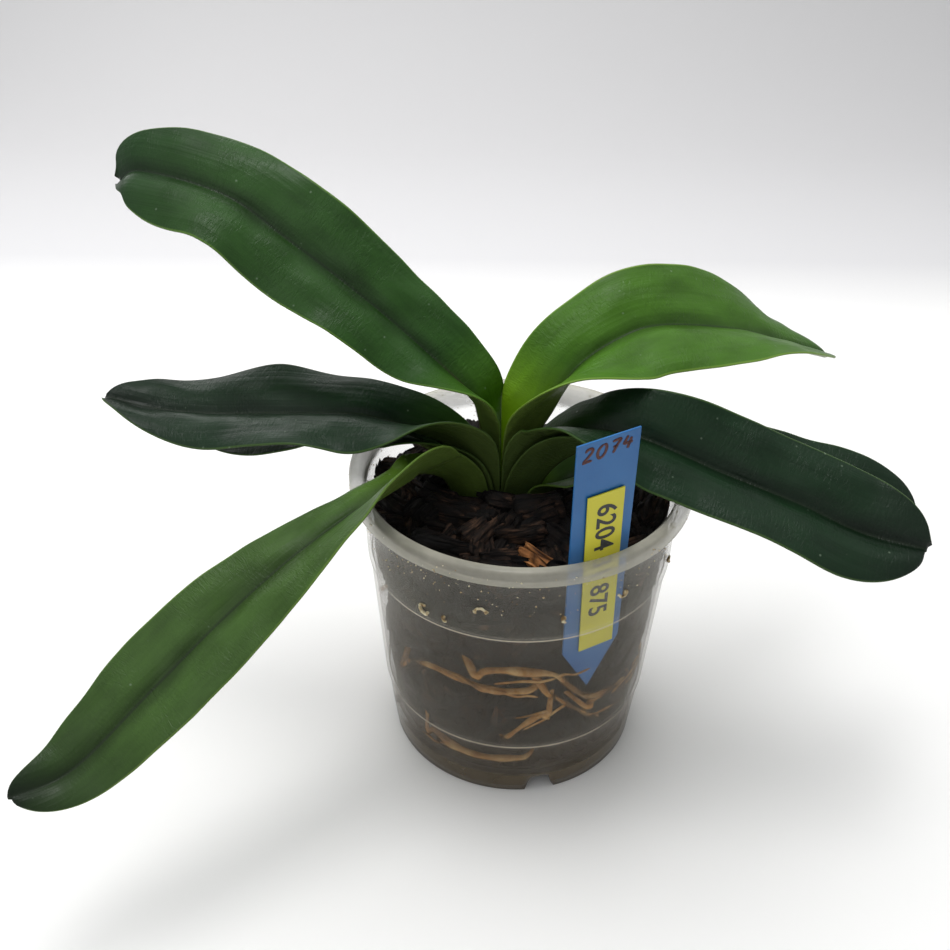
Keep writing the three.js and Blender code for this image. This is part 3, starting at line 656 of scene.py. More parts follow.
def pot_profile():
    """The pot's section as (radius, height): under the floor, up the outside, over the rim, down inside."""
    outer = lambda z, more=0.0: float(wall_radius(z)) + more
    inner = lambda z, more=0.0: float(wall_radius(z)) - WALL + more
    band, top = POT_HEIGHT - RIM_BAND, POT_HEIGHT
    return [
        *[(radius, FLOOR_HEIGHT) for radius in (*FLOOR_RINGS, inner(FLOOR_HEIGHT, -1.5))],
        (inner(4, -1.1), 4.0), (inner(0, -0.8), 0.25), (inner(0, -0.5), 0.0), (outer(0, -0.3), 0.0),
        *[(outer(z), z) for z in (0.3, 4.0, FLOOR_HEIGHT, 16.0, 23.6)],
        (outer(23.9, 0.1), 23.95), (outer(24.6, -0.1), 24.4),
        *[(outer(z), z) for z in (25.0, 40.0, 57.0, 74.5)],
        (outer(75.2), 75.1), (outer(76.4), 76.2), *[(outer(z), z) for z in (77.2, 88.0, band - 1.6)],
        (outer(band - 0.8, 0.5), band - 0.7), (RIM_RADIUS - 1.2, band - 0.1), (RIM_RADIUS - 0.4, band + 0.1),
        (RIM_RADIUS, band + 0.7), (RIM_RADIUS, top - 1.4), (RIM_RADIUS - 0.3, top - 0.5),
        (RIM_RADIUS - 0.9, top), (RIM_RADIUS - 0.9 - LIP * 0.6, top), (RIM_RADIUS - 3.6, top - 0.5),
        (inner(top - 3, 0.3), top - 2.2),
        *[(inner(z), z) for z in (top - 5, 88.0, 77.2, 76.0, 75.0, 57.0, 40.0, 24.8, 24.0, 16.0, 10.6)],
        *[(radius, FLOOR_TOP) for radius in (inner(FLOOR_TOP, -0.8), *FLOOR_RINGS[::-1])]]


def make_pot_mesh():
    angles, profile, rings = full_turn(POT_SIDES), pot_profile(), []
    for radius, z in profile:
        ring = polar(radius, angles, z)
        for i in range(NOTCH_COUNT if z < FLOOR_HEIGHT else 0):
            turn_to = math.radians(NOTCH_FIRST + 360 * i / NOTCH_COUNT)
            aside = np.abs((angles - turn_to + math.pi) % (2 * math.pi) - math.pi) * FOOT_RADIUS
            inside_notch = 1 - smooth((aside - (NOTCH_WIDTH / 2 - NOTCH_SIDES[0])) / NOTCH_SIDES[1])
            ring[:, 2] = np.maximum(ring[:, 2], inside_notch * (NOTCH_HEIGHT + 0.12 * z))
        rings.append(ring)
    low_centre = len(profile) * POT_SIDES
    last = low_centre - POT_SIDES
    faces = grid_faces(len(profile), POT_SIDES, around=True)
    for j in range(POT_SIDES):
        k = (j + 1) % POT_SIDES
        faces += [[low_centre, j, k], [low_centre + 1, last + k, last + j]]
    return np.vstack([*rings, [[0, 0, FLOOR_HEIGHT], [0, 0, FLOOR_TOP]]]), [face[::-1] for face in faces]


# %% [markdown]
# ## Pot finish
# Moulded polypropylene is milky: light passes, but the wall scatters some of it, so things behind look grey
# and low in contrast, and at a grazing angle the wall turns whiter. Here most of each face is see-through,
# and a share of it is a pale glossy plastic. That share grows at a grazing angle, partly for the longer path
# through the wall and partly as painted reflection, and it is largest in the thick rim band. Height decides
# the rest: the ledge and the step show as thin beige lines, and the foot is a nearly opaque dark brown, which
# is painted shade of the dim space under the pot. Light crosses both faces of the wall, so the one seen from
# behind adds little.

# %% Pot material
PLASTIC_IOR = 1.49
# how much of the plastic itself shows, from 0 to 1, and its colour, both up the pot in mm; the nearly opaque
# dark brown at the foot is painted shade of the dim space under the pot
HAZE = [(0, 0.85), (8, 0.78), (9.6, 0.18), (23.4, 0.1), (23.8, 0.7), (24.6, 0.7), (25.3, 0.065), (50, 0.06),
        (74.9, 0.065), (75.1, 0.8), (75.5, 0.8), (75.9, 0.1), (98, 0.115), (100.2, 0.6), (106, 0.58)]
SHADES = [(0, "#453821"), (8.5, "#50432c"), (11, "#756b5d"), (23.5, "#8a8072"), (24.2, "#cfc4ae"),
          (25.4, "#948d80"), (74.8, "#9d9689"), (75.3, "#ddd1ba"), (76, "#aba799"), (99, "#aeaaa0"),
          (101, "#aaa798"), (106, "#aeab9c")]


def make_pot_material():
    material, add, shader = new_material("moulded_translucent_polypropylene")
    place = add("TexCoord").outputs["Object"]
    height = add("SeparateXYZ", place).outputs["Z"]
    share_up = add("Math", height, POT_HEIGHT * MM, operation="DIVIDE")
    haze_up, colour = [set_ramp(add("ValToRGB", share_up), *[(z / POT_HEIGHT, value) for z, value in stops])
                       for stops in (HAZE, SHADES)]
    # uneven film of lime and damp, patches of about 20 mm
    film = add("TexNoise", place, Scale=every(22.22), Detail=5.0, Roughness=0.6)
    film_share = add("MapRange", film, From_Min=0.3, From_Max=0.7, To_Min=0.75, To_Max=1.3)
    haze = add("Math", haze_up, film_share, operation="MULTIPLY")
    # grazing view: towards its outline the wall shows much more of itself, partly for the longer path through
    # the milky plastic and partly as painted reflection, in place of the gloss that the alpha dims
    grazing = add("LayerWeight", Blend=0.35).outputs["Facing"]
    squared = add("Math", grazing, 2.0, operation="POWER")
    grazing_and_painted_reflection = add("Math", squared, 0.8, operation="MULTIPLY")
    haze_and_painted_reflection = add("Math", haze, grazing_and_painted_reflection, operation="ADD", use_clamp=True)
    # a face seen from behind adds little, so each beige line shows once
    behind = add("NewGeometry").outputs["Backfacing"]
    from_behind = add("MapRange", behind, To_Min=1.0, To_Max=0.3)
    alpha = add("Math", haze_and_painted_reflection, from_behind, operation="MULTIPLY")
    # the mould's waves, 11 mm apart
    ripple = add("TexNoise", place, Scale=every(11.11), Detail=2.0)
    bump = add("Bump", Height=ripple, Strength=0.15, Distance=0.6 * MM)
    fill(shader, Base_Color=colour, Roughness=0.22, IOR=PLASTIC_IOR, Alpha=alpha, Normal=bump)
    return material


# %% Pot with its drain holes
def as_mesh(thing):
    """The mesh that an object shows once its modifiers or its letters are worked out."""
    return bpy.data.meshes.new_from_object(thing.evaluated_get(bpy.context.evaluated_depsgraph_get()))


DRILL_LENGTH, DRILL_SIDES = 4, 40
pot = make_piece("clear_pot", *make_pot_mesh(), make_pot_material(), "pot_plastic", ("pot",))
drill_mesh = bmesh.new()
for drain_turn in full_turn(DRAIN_COUNT):
    where = Vector((POT_AXIS + polar(DRAIN_RING, drain_turn, (FLOOR_HEIGHT + FLOOR_TOP) / 2)) * MM)
    bmesh.ops.create_cone(drill_mesh, cap_ends=True, segments=DRILL_SIDES, radius1=DRAIN_RADIUS * MM,
                          radius2=DRAIN_RADIUS * MM, depth=DRILL_LENGTH * MM,
                          matrix=Matrix.Translation(where))
drill = put_in_scene("drill", bpy.data.meshes.new("drill"))
drill_mesh.to_mesh(drill.data)
drill_mesh.free()
cut = pot.modifiers.new("drain_holes", "BOOLEAN")
cut.object, cut.solver = drill, "EXACT"
pot_drilled = as_mesh(pot)
pot.modifiers.clear()
pot.data = pot_drilled
bpy.data.objects.remove(drill)
print("pot after drilling:", len(pot_drilled.polygons), "faces")

# %% [markdown]
# ## Roots
# Slipper orchids have few, thick, hairy roots. In a clear pot they run along the inside of the wall, where
# they show through it as orange-brown bands. Each one follows the route of its solid: out of the stem,
# through the bark and then round the wall. A tube whose thickness swells and shrinks, with a thinner side
# root here and there, is enough, because the milky wall softens everything behind it. The hairs are too
# fine to model: towards its outline a root turns see-through, which blurs it as they do.

# %% Root values
ROOT_RADIUS, SIDE_ROOT_RADIUS, ROOT_SEAT = 1.6, 0.55, 0.3
SIDE_ROOT_COUNT, SIDE_ROOT_STEPS, SIDE_ROOT_HEIGHTS = 12, 5, (12, 70)
SWELL_SHARE, SWELL_SPACING = 0.22, 11.0  # how uneven a root is, and the mm between its swellings
TIP_TURNS_IN = (0.93, 0.84)  # shares of the wall's radius, where a root's tip turns back into the bark
STEM_STRETCH, STEM_HEIGHT = 1.92, 17.0
ROOTS = [  # along the wall: degrees round the axis and height in mm
    [(-109, 56), (-97, 59), (-84, 58), (-76, 56), (-68, 48), (-59, 40.5), (-48, 38), (-30, 35)],
    [(-148, 42), (-132, 50), (-116, 51), (-100, 49), (-86, 50)],
    [(-80, 50), (-70, 41), (-60, 33), (-50, 25)],
    [(-62, 38), (-46, 37), (-28, 30), (-10, 36)],
    [(-77, 40), (-86, 34), (-94, 27)],
    [(-136, 18), (-120, 14), (-104, 13.5), (-86, 15)],
    [(-170, 60), (-182, 44), (-196, 30), (-214, 24)],
    [(20, 58), (36, 46), (54, 40), (72, 28)],
    [(110, 55), (96, 42), (84, 34), (98, 20)],
]
print(len(ROOTS), "thick roots and", SIDE_ROOT_COUNT, "thin ones")

# %% Routes of the roots
def on_wall(degrees, z, radius):
    """Centre points of a root that lies against the inside of the wall."""
    return polar(wall_radius(z) - WALL - radius - ROOT_SEAT, np.radians(degrees), z)


def side_route(wall_points, random):
    """A thin root that leaves a thick one and wanders over the wall."""
    start = random.integers(0, len(wall_points) - 1)
    heading = random.choice([-1, 1]) * random.uniform(3.5, 6.5)
    steps = np.arange(SIDE_ROOT_STEPS)
    drift = random.uniform(-2.5, 1.5)
    z = wall_points[start][1] + drift * steps + random.uniform(-1.2, 1.2, SIDE_ROOT_STEPS)
    return on_wall(wall_points[start][0] + heading * steps, np.clip(z, *SIDE_ROOT_HEIGHTS), SIDE_ROOT_RADIUS)


def root_route(wall_points):
    """From the stem to the wall and then round it, in mm."""
    curve, lengths = curve_through([(degrees, z, 0) for degrees, z in wall_points])
    along = sample(curve, lengths, np.linspace(0, 1, max(4, int(lengths[-1] / 5) + 2)))
    wall = on_wall(along[:, 0], along[:, 1], ROOT_RADIUS)
    stem = CROWN_FOOT - [0, 0, STEM_HEIGHT * 0.6]
    bend = stem + (wall[0] - stem) * 0.55 + 3 * (wall[0] - wall[1]) * [1, 1, 0.3]
    last = 2 * wall[-1] - wall[-2]
    return np.vstack([stem, bend, wall, *[last * [inwards, inwards, 1] for inwards in TIP_TURNS_IN]])


ROUTES = [root_route(wall_points) for wall_points in ROOTS]
print("roots are", [round(curve_through(route)[1][-1]) for route in ROUTES], "mm long")

# %% Tubes and turned solids
def closed_faces(rings, sides):
    """Faces of a tube of rings of points: its wall and both ends."""
    ends = [list(range(sides))[::-1], list(range((rings - 1) * sides, rings * sides))]
    return [face[::-1] for face in grid_faces(rings, sides, around=True) + ends]


def join(parts):
    """Several (points, faces) as one."""
    points, faces, start = [], [], 0
    for part_points, part_faces in parts:
        points.append(part_points)
        faces += [[start + index for index in face] for face in part_faces]
        start += len(part_points)
    return np.vstack(points), faces


def tube(route, radius, seed, sides=12, pace=1.6):
    """A root: a closed tube with an uneven thickness and rounded ends."""
    curve, lengths = curve_through(route)
    shares = np.linspace(0, 1, max(6, int(lengths[-1] / pace)))
    line = sample(curve, lengths, shares)
    along = unit(np.gradient(line, axis=0))
    first = unit(np.cross(along, [0.13, 0.21, 0.97]))  # any direction that no root runs along
    second = np.cross(along, first)
    turns = full_turn(sides)
    thick = radius * (1 + SWELL_SHARE * wavelets(shares * lengths[-1], 0 * shares, seed, SWELL_SPACING))
    thick = thick * (1.08 - 0.35 * shares) * rounding_off(np.abs(2 * shares - 1), 24, 0.01)
    swell = 1 + 0.1 * np.sin(turns * 2 + seed)[None, :]
    ring = thick[:, None, None] * swell[:, :, None] * (
        np.cos(turns)[None, :, None] * first[:, None] + np.sin(turns)[None, :, None] * second[:, None])
    return (line[:, None] + ring).reshape(-1, 3), closed_faces(len(shares), sides)


def lathe(profile, sides, centre=(0, 0, 0), stretch=(1, 1, 1)):
    """A solid turned from a profile of (radius, height) pairs."""
    rings = [polar(radius, full_turn(sides), z) * stretch + centre for radius, z in profile]
    return np.vstack(rings), closed_faces(len(rings), sides)


print("a tube of 3 rings of 8 points has", len(closed_faces(3, 8)), "faces")

# %% [markdown]
# ## Root finish
# The velamen round a root is spongy and matte: pale where it is dry and brown where it is wet, in patches.
# Fine hairs stand out from it all round.

# %% Root material, and the stem with its roots
def make_stem():
    """The short stem under the leaves, a squat oval."""
    low, top = -STEM_HEIGHT, -0.35
    profile = [(1, low), (4.9, low), (8.2, low + 6.8), (8.2, top - 2), (7.2, top), (1, top)]
    return lathe(profile, 32, CROWN_FOOT, (STEM_STRETCH, 1, 1))


def make_root_material():
    material, add, shader = new_material("orchid_root_hairy_velamen")
    place = add("TexCoord").outputs["Object"]
    # patches of about 8 mm, from wet to dry
    patches = add("TexNoise", place, Scale=every(8.333), Detail=6.0, Roughness=0.65)
    velamen = set_ramp(add("ValToRGB", patches), (0.32, "#6b4a26"), (0.5, "#a8783f"), (0.68, "#cfab72"))
    # the stem itself, above the roots, is olive
    height = add("SeparateXYZ", place).outputs["Z"]
    is_stem = add("MapRange", height, From_Min=66 * MM, From_Max=72 * MM)
    colour = add("Mix", is_stem, velamen, linear("#3f4a1f"), data_type="RGBA")
    # the fine hairs blur a root's outline
    facing = add("LayerWeight", Blend=0.5).outputs["Facing"]
    hairy = add("MapRange", facing, From_Min=0.08, From_Max=0.72, To_Min=1.0, To_Max=0.0,
                interpolation_type="SMOOTHSTEP")
    # real hairs are a tenth of this apart, too fine to show
    hairs = add("TexNoise", place, Scale=every(0.4545), Detail=2.0)
    bump = add("Bump", Height=hairs, Strength=0.6, Distance=0.3 * MM)
    fill(shader, Base_Color=colour, Roughness=0.85, Alpha=hairy, Normal=bump)
    return material


root_parts = [make_stem()] + [tube(route, ROOT_RADIUS * 0.95, seed) for seed, route in enumerate(ROUTES)]
side_random = np.random.default_rng(31)
for side_index in range(SIDE_ROOT_COUNT):
    side = side_route(ROOTS[side_index % len(ROOTS)], side_random)
    root_parts.append(tube(side, SIDE_ROOT_RADIUS, 40 + side_index, sides=8, pace=1.2))
make_piece("orchid_roots", *join(root_parts), make_root_material(), "root", ("stem_with_roots",))

# %% [markdown]
# ## Bark
# The pot is filled with coarse pine bark, damp and nearly black, broken in flat chips of one to two
# centimetres whose layers show as ridges along the grain. A displaced disc would read as soil, so every
# chip is its own small solid: a rounded box whose faces are bent and ridged by seeded waves. Chips on top lie
# at all angles on a golden-angle spiral, which spreads them evenly without rows, and are heaped before and
# behind the leaf bases and under the low arch of leaf_4. Chips behind the wall lie flat against it and give
# way where a root runs. A dark core closes the view between them.

# %% A cut cube, and turns
def turn_matrix(*turns):
    """The product of turns given as (axis, radians) pairs."""
    matrix = Matrix.Identity(3)
    for axis, radians in turns:
        matrix = matrix @ Matrix.Rotation(radians, 3, axis)
    return np.array(matrix)


TAG_TIP = np.array([22.1, -37.6, 45.0])
TAG_MATRIX = turn_matrix(("Z", math.radians(27.0)), ("X", math.radians(4.3)), ("Y", math.radians(-3.0)))


def box_grid(nx, ny, nz):
    """The surface of a cube from -1 to 1, cut into nx, ny and nz cells along its axes."""
    index, points, faces = {}, [], []

    def point(cell):
        if cell not in index:
            index[cell] = len(points)
            points.append([2 * cell[0] / nx - 1, 2 * cell[1] / ny - 1, 2 * cell[2] / nz - 1])
        return index[cell]

    counts = (nx, ny, nz)
    for axis in range(3):
        first, second = (axis + 1) % 3, (axis + 2) % 3
        for level, i, j in product((0, counts[axis]), range(counts[first]), range(counts[second])):
            corners = []
            for di, dj in ((0, 0), (1, 0), (1, 1), (0, 1)):
                cell = [0, 0, 0]
                cell[axis], cell[first], cell[second] = level, i + di, j + dj
                corners.append(point(tuple(cell)))
            faces.append(corners if level else corners[::-1])
    return np.array(points), faces


print("a cube of 4 x 3 x 2 cells has", len(box_grid(4, 3, 2)[1]), "faces")

# %% Shape of a chip
CHIP_ROUNDNESS = 9  # 2 would be a ball, and large numbers a box
FIBRE_SPACING, BUNDLE_SPACING = 1.7, 3.5  # mm


def shape_chip(cube, random, length, width, height):
    """Bends a cut cube into a split chip with its grain along x: fibres, torn ends and a bend.

    The relief is in shares of the chip's half size, and the waves count in radians.
    """
    rounded = cube / (np.abs(cube) ** CHIP_ROUNDNESS).sum(1)[:, None] ** (1 / CHIP_ROUNDNESS)
    x, y, z = rounded.T.copy()
    lean, skew, bend, twist = random.uniform(-1, 1, 4)
    phases = random.uniform(0, 2 * math.pi, 8)
    across_mm = y * width / 2
    # fibres and bundles of them stand out along the grain, and wander a little
    wander = 0.5 * np.sin(2.2 * x + phases[0])
    fibres = np.sin(across_mm * 2 * math.pi / FIBRE_SPACING + phases[1] + wander)
    bundles = np.sin(across_mm * 2 * math.pi / BUNDLE_SPACING + phases[2] - wander)
    # the ends are torn: each fibre stops at its own length
    torn = 0.09 * np.sin(across_mm * 1.9 + phases[3] + 2 * z) + 0.05 * np.sin(across_mm * 5.3 + phases[4])
    x_torn = x * (1 + torn * np.abs(x) ** 3)
    y_split = y * (1 + 0.28 * lean * x + 0.1 * np.sin(3 * x + phases[5])) + 0.3 * skew * z
    z_layers = z * (1 - 0.3 * bend * x) + 0.22 * bend * x**2 + 0.3 * twist * x * y
    z_layers = z_layers + np.sign(z) * (0.11 * fibres + 0.14 * bundles) + 0.12 * np.sin(3.4 * x + phases[6])
    y_split = y_split + 0.09 * np.sin(7 * z + phases[7]) * (np.abs(y) > 0.8)
    return np.stack([x_torn * length / 2, y_split * width / 2, z_layers * height / 2], 1), x, y


print("fibres", FIBRE_SPACING, "mm apart, bundles", BUNDLE_SPACING, "mm")

# %% What the chips give way to
BARK_LEVEL = 90.0
# closely spaced points along the roots where they follow the wall
ROOT_RUNS = np.vstack([curve[np.hypot(curve[:, 0], curve[:, 1]) > 38][::4]
                       for curve, _ in map(curve_through, ROUTES)])
ROOT_TURNS = np.degrees(np.arctan2(ROOT_RUNS[:, 1], ROOT_RUNS[:, 0]))
ROOM_BEHIND_ROOTS, ROOT_CLEARING, ROOT_EASING = 4.6, 2.6, 3.0  # mm deep, mm to each side, and its soft edge
WALL_SEAT = 0.4  # mm between the wall and the chips that lie closest to it
SOFT_SEAT = 1.3  # mm, the depth in which a chip's relief is pressed flat by the wall
SEAT_SPREAD = 1.6  # mm, chips end at this many different depths behind the wall
CROWN_OVAL = (18.9, 9.7)  # mm, half length and half width of the hole that the leaf bases stand in
OVAL_GROWTH = 0.028  # per mm of height, as the leaf bases lean out
TAG_FIELD = (12.0, -3.0, 1.0)  # mm, half width, low end and back of the space kept free for the tag


def kept_inside(points, seat):
    """Chips stay inside the wall, behind the roots and the tag, and off the leaf bases."""
    points = points.copy()
    reach = np.hypot(points[:, 0], points[:, 1])
    limit = wall_radius(points[:, 2]) - WALL - WALL_SEAT - seat - SOFT_SEAT
    near_wall = reach > 34
    turns = np.degrees(np.arctan2(points[:, 1], points[:, 0]))
    aside = (turns[near_wall, None] - ROOT_TURNS[None] + 180) % 360 - 180
    gap = np.hypot(np.radians(aside) * 46, points[near_wall, 2][:, None] - ROOT_RUNS[None, :, 2]).min(1)
    limit[near_wall] -= ROOM_BEHIND_ROOTS * (1 - smooth((gap - ROOT_CLEARING) / ROOT_EASING))
    over = np.maximum(reach - limit, 0)
    kept = np.minimum(reach, limit) + SOFT_SEAT * (1 - np.exp(-over / SOFT_SEAT))
    points[:, :2] *= (kept / np.maximum(reach, 1e-6))[:, None]
    # the leaf bases stand in an oval, which chips at their height give way to
    from_crown = points[:, :2] - CROWN_FOOT[:2]
    growth = 1 + OVAL_GROWTH * np.maximum(points[:, 2] - BARK_LEVEL, 0)
    oval = np.hypot(*(from_crown / CROWN_OVAL).T) / growth
    pushed = np.where((oval < 1) & (points[:, 2] > CROWN_FOOT[2] - 1), 1 / np.maximum(oval, 0.05), 1)
    points[:, :2] = CROWN_FOOT[:2] + from_crown * pushed[:, None]
    points[:, 2] = np.maximum(points[:, 2], FLOOR_HEIGHT + 1.6)
    # nothing comes between the tag and the wall in front of it
    half_width, low_end, back = TAG_FIELD
    local = (points - TAG_TIP) @ TAG_MATRIX
    hides_tag = (np.abs(local[:, 0]) < half_width) & (local[:, 2] > low_end) & (local[:, 1] < back + seat)
    local[hides_tag, 1] = back + seat
    return local @ TAG_MATRIX.T + TAG_TIP


print("chips give way to", len(ROOT_RUNS), "points on the roots")

# %% [markdown]
# ## Bark finish
# Weathered bark is nearly black when it is damp, with brown where a layer has split off, and it is rougher
# and duller where it is dry. Each chip carries its own tone and its own place in the pattern as attributes
# on its points, so no two chips look alike and the layers follow each chip's grain.

# %% Bark materials
def make_bark_material(name, *tones):
    material, add, shader = new_material(name)
    tone, grain, layer = [add("Attribute", attribute_name=key).outputs["Fac"]
                          for key in ("tone", "grain", "layer")]
    vector = add("CombineXYZ", grain, layer, tone)
    stretched = add("Mapping", vector, Scale=(0.22, 1.0, 1.0))
    # bark layers are about 1 mm thick, and patches of them 6 mm wide
    layers = add("TexNoise", stretched, Scale=every(1.111), Detail=6.0, Roughness=0.7)
    patches = add("TexNoise", vector, Scale=every(6.25), Detail=3.0)
    mixed = add("Math", layers, patches, operation="ADD")
    lifted = add("MapRange", tone, To_Min=-0.12, To_Max=0.1, clamp=False)
    total = add("Math", mixed, lifted, operation="ADD")
    halved = add("Math", total, 0.5, operation="MULTIPLY")
    coloured = set_ramp(add("ValToRGB", halved), *zip((0.36, 0.5, 0.58, 0.68), tones))
    # splits along the grain, 3 mm apart, are sharp, and painted shade darkens them
    splits = add("TexVoronoi", stretched, Scale=every(3.03), feature="DISTANCE_TO_EDGE")
    split_depth_and_shade = add("MapRange", splits, From_Max=0.12, To_Min=0.25)
    split_shaded = add("VectorMath", coloured, Scale=split_depth_and_shade, operation="SCALE")
    damp = add("MapRange", patches, From_Min=0.35, From_Max=0.6, To_Min=0.6, To_Max=0.95)
    split_bump = add("Bump", Height=split_depth_and_shade, Strength=0.8, Distance=0.8 * MM)
    bump = add("Bump", Height=layers, Strength=1.0, Distance=1.0 * MM, Normal=split_bump)
    fill(shader, Base_Color=split_shaded, Roughness=damp, Specular_IOR_Level=0.3, Normal=bump)
    return material


BARK = make_bark_material("weathered_pine_bark_damp", "#0c0908", "#17110e", "#2c2019", "#584132")
PALE_BARK = make_bark_material("split_pine_bark_fresh", "#5c3a20", "#8a5a33", "#a97142", "#c79a66")
print("bark materials:", BARK.name, "and", PALE_BARK.name)

# %% [markdown]
# ## Where the chips lie
# Each chip is made where it belongs, as a place, a turn and a size, and all chips of a layer are joined to
# one piece. Seeded draws vary them, so the bed comes out the same each time. The tag's front has to stay in
# view, so chips near its plane are moved behind it or left out.

# %% Chips joined to a piece
BROWN_TONE, BROWN_SHARE = 1.3, 0.1  # a few chips are less weathered, and browner
TAG_ROOM = (14, -4, 1, 5.0)  # mm, half width, low end and front of the tag's surroundings, and room behind it


def make_chips(name, places, cuts):
    """Joins chips given as (centre, turn matrix, size) into one piece."""
    cube, cube_faces = box_grid(*cuts)
    parts, tone, grain, layer = [], [], [], []
    random = np.random.default_rng(7)
    for centre, matrix, size in places:
        points, x, y = shape_chip(cube, random, *size)
        seat = random.uniform(0, SEAT_SPREAD)
        parts.append((kept_inside(points @ matrix.T + centre, seat), cube_faces))
        tones = [random.uniform(0, 1), BROWN_TONE]
        tone.append(np.full(len(cube), random.choice(tones, p=[1 - BROWN_SHARE, BROWN_SHARE])))
        grain.append(x * size[0] * MM / 2 + random.uniform(0, 1))
        layer.append(y * size[1] * MM / 2 + points[:, 2] * MM)
    make_piece(name, *join(parts), BARK, "bark", tone=np.concatenate(tone), grain=np.concatenate(grain),
               layer=np.concatenate(layer))


def beside_tag(centre):
    """A chip's centre moved off the tag's plane, or None where it would hide the tag's front."""
    half_width, low_end, front, room = TAG_ROOM
    local = TAG_MATRIX.T @ (centre - TAG_TIP)
    if abs(local[0]) < half_width and local[2] > low_end:
        if local[1] < front:
            return None
        local[1] = max(local[1], room)
    return TAG_MATRIX @ local + TAG_TIP


print("a chip in the tag's plane is", "left out" if beside_tag(TAG_TIP) is None else "moved")

# %% Places on top and behind the wall
GOLDEN_ANGLE = math.pi * (3 - math.sqrt(5))
TOP_COUNT, TOP_REACH, CROWN_HEAP, HEAP_SPREAD = 180, 46.5, 7.5, 1.1
FREE_OVAL, TURNED_OVAL = 1.1, 1.6  # crown ovals without chips, and within which they lie round the bases
ARCH_HEAP, ARCH_SPREAD, ARCH_PLACE = 6.0, 11.0, (-28.0, -7.0)  # mm, the heap under the arch of leaf_4
WALL_COUNT, WALL_LOW = 430, 12.5


def top_places():
    """Chips on top, turned to lie round the leaf bases where they meet them."""
    random = np.random.default_rng(3)
    for i in range(TOP_COUNT):
        reach = TOP_REACH * math.sqrt((i + 0.5) / TOP_COUNT)
        size = (random.uniform(9, 20), random.uniform(6.5, 12), random.uniform(4, 8))
        centre = polar(reach, i * GOLDEN_ANGLE, BARK_LEVEL + random.uniform(-3.5, 3.0) - reach * 0.02)
        tilt_x, tilt_y = random.uniform(-0.6, 0.6), random.uniform(-0.45, 0.45)
        heading = random.uniform(0, math.pi)
        x, y = (centre - CROWN_FOOT)[:2] / CROWN_OVAL
        oval = math.hypot(x, y)
        if oval < FREE_OVAL:
            continue
        # before and behind the leaf bases the chips are heaped
        centre[2] += CROWN_HEAP * (y / oval) ** 2 * hill((oval - 1) / HEAP_SPREAD)
        centre[2] += ARCH_HEAP * hill(math.dist(centre[:2], ARCH_PLACE) / ARCH_SPREAD)
        if oval < TURNED_OVAL:
            heading = math.atan2(x / CROWN_OVAL[0], -y / CROWN_OVAL[1])
        yield beside_tag(centre), turn_matrix(("Z", heading), ("Y", tilt_y), ("X", tilt_x)), size


def wall_places():
    """Chips that lie flat against the inside of the wall."""
    random = np.random.default_rng(4)
    for i in range(WALL_COUNT):
        turn_to = i * GOLDEN_ANGLE
        z = WALL_LOW + (BARK_LEVEL - 15) * (i + 0.5) / WALL_COUNT
        size = (random.uniform(9, 18), random.uniform(7, 11), random.uniform(4, 6.5))
        centre = polar(wall_radius(z) - WALL - 1.0 - size[2] * 0.5, turn_to, z)
        spin, tilt = random.uniform(0, math.pi), random.uniform(-0.25, 0.25)
        matrix = turn_matrix(("Z", turn_to), ("Y", math.pi / 2), ("Z", spin), ("X", tilt))
        yield beside_tag(centre), matrix, size


print("top and wall take up to", TOP_COUNT + WALL_COUNT, "chips")

# %% Core and chips
CORE_DEPTH, CORE_SIDES = 5.5, 64


def make_core():
    """A dark solid that closes the view between the chips."""
    low, top = FLOOR_HEIGHT + 1.7, BARK_LEVEL - 4.5
    side = [(float(wall_radius(z)) - WALL - CORE_DEPTH, z) for z in np.linspace(low, BARK_LEVEL - 5, 14)]
    points, faces = lathe([(0.5, low), *side, (30, top), (0.5, top)], CORE_SIDES)
    make_piece("bark_core", points, faces, BARK, "bark", ("bark_bed",), tone=0 * points[:, 0],
               grain=points[:, 2] * MM, layer=np.arctan2(points[:, 1], points[:, 0]) * 45 * MM)


make_core()
for chips_name, chip_places, chip_cuts in (("bark_chips_top", top_places(), (9, 20, 4)),
                                           ("bark_chips_wall", wall_places(), (7, 8, 2))):
    make_chips(chips_name, [place for place in chip_places if place[0] is not None], chip_cuts)

# %% Fresh chip
FRESH_SIZE, FRESH_PLACE = (12.0, 6.2, 4.6), (4.0, -34.5, BARK_LEVEL + 3.5)
fresh_cube, fresh_faces = box_grid(10, 20, 6)
fresh_points, fresh_x, fresh_y = shape_chip(fresh_cube, np.random.default_rng(21), *FRESH_SIZE)
fresh_points = fresh_points @ turn_matrix(("Z", -0.62), ("Y", 0.2), ("X", 0.35)).T + FRESH_PLACE
make_piece("bark_chip_fresh", fresh_points, fresh_faces, PALE_BARK, "pale_bark", ("bark_chip_pale",),
           tone=np.full(len(fresh_cube), 0.6), grain=fresh_x * 0.006, layer=fresh_y * 0.004)

# %% [markdown]
# ## Crumbs and husks
# Repotting leaves crumbs of bark on the pot: specks well under a millimetre that cling below the rim, and a
# few curled husks of 3 to 5 mm. They are what tells the eye how big the pot is. A husk is a thin tube along a
# spiral that lies on the wall, and a speck is an eight-sided grain, half sunk in it.

# %% Crumbs on the wall
HUSKS = [(-125, 80.5, 2.3), (-105, 87, 2.2), (-117, 80, 1.3), (-76, 84, 1.2), (-54, 87.6, 1.7),
         (-24, 84, 1.6), (64, 82, 1.6), (150, 88, 1.9)]  # degrees, height and radius in mm
HUSK_STEPS = 12
SPECK_COUNT, SPECK_SIZES, SPECKS_ON_RIM = 700, (0.1, 0.34), 0.18


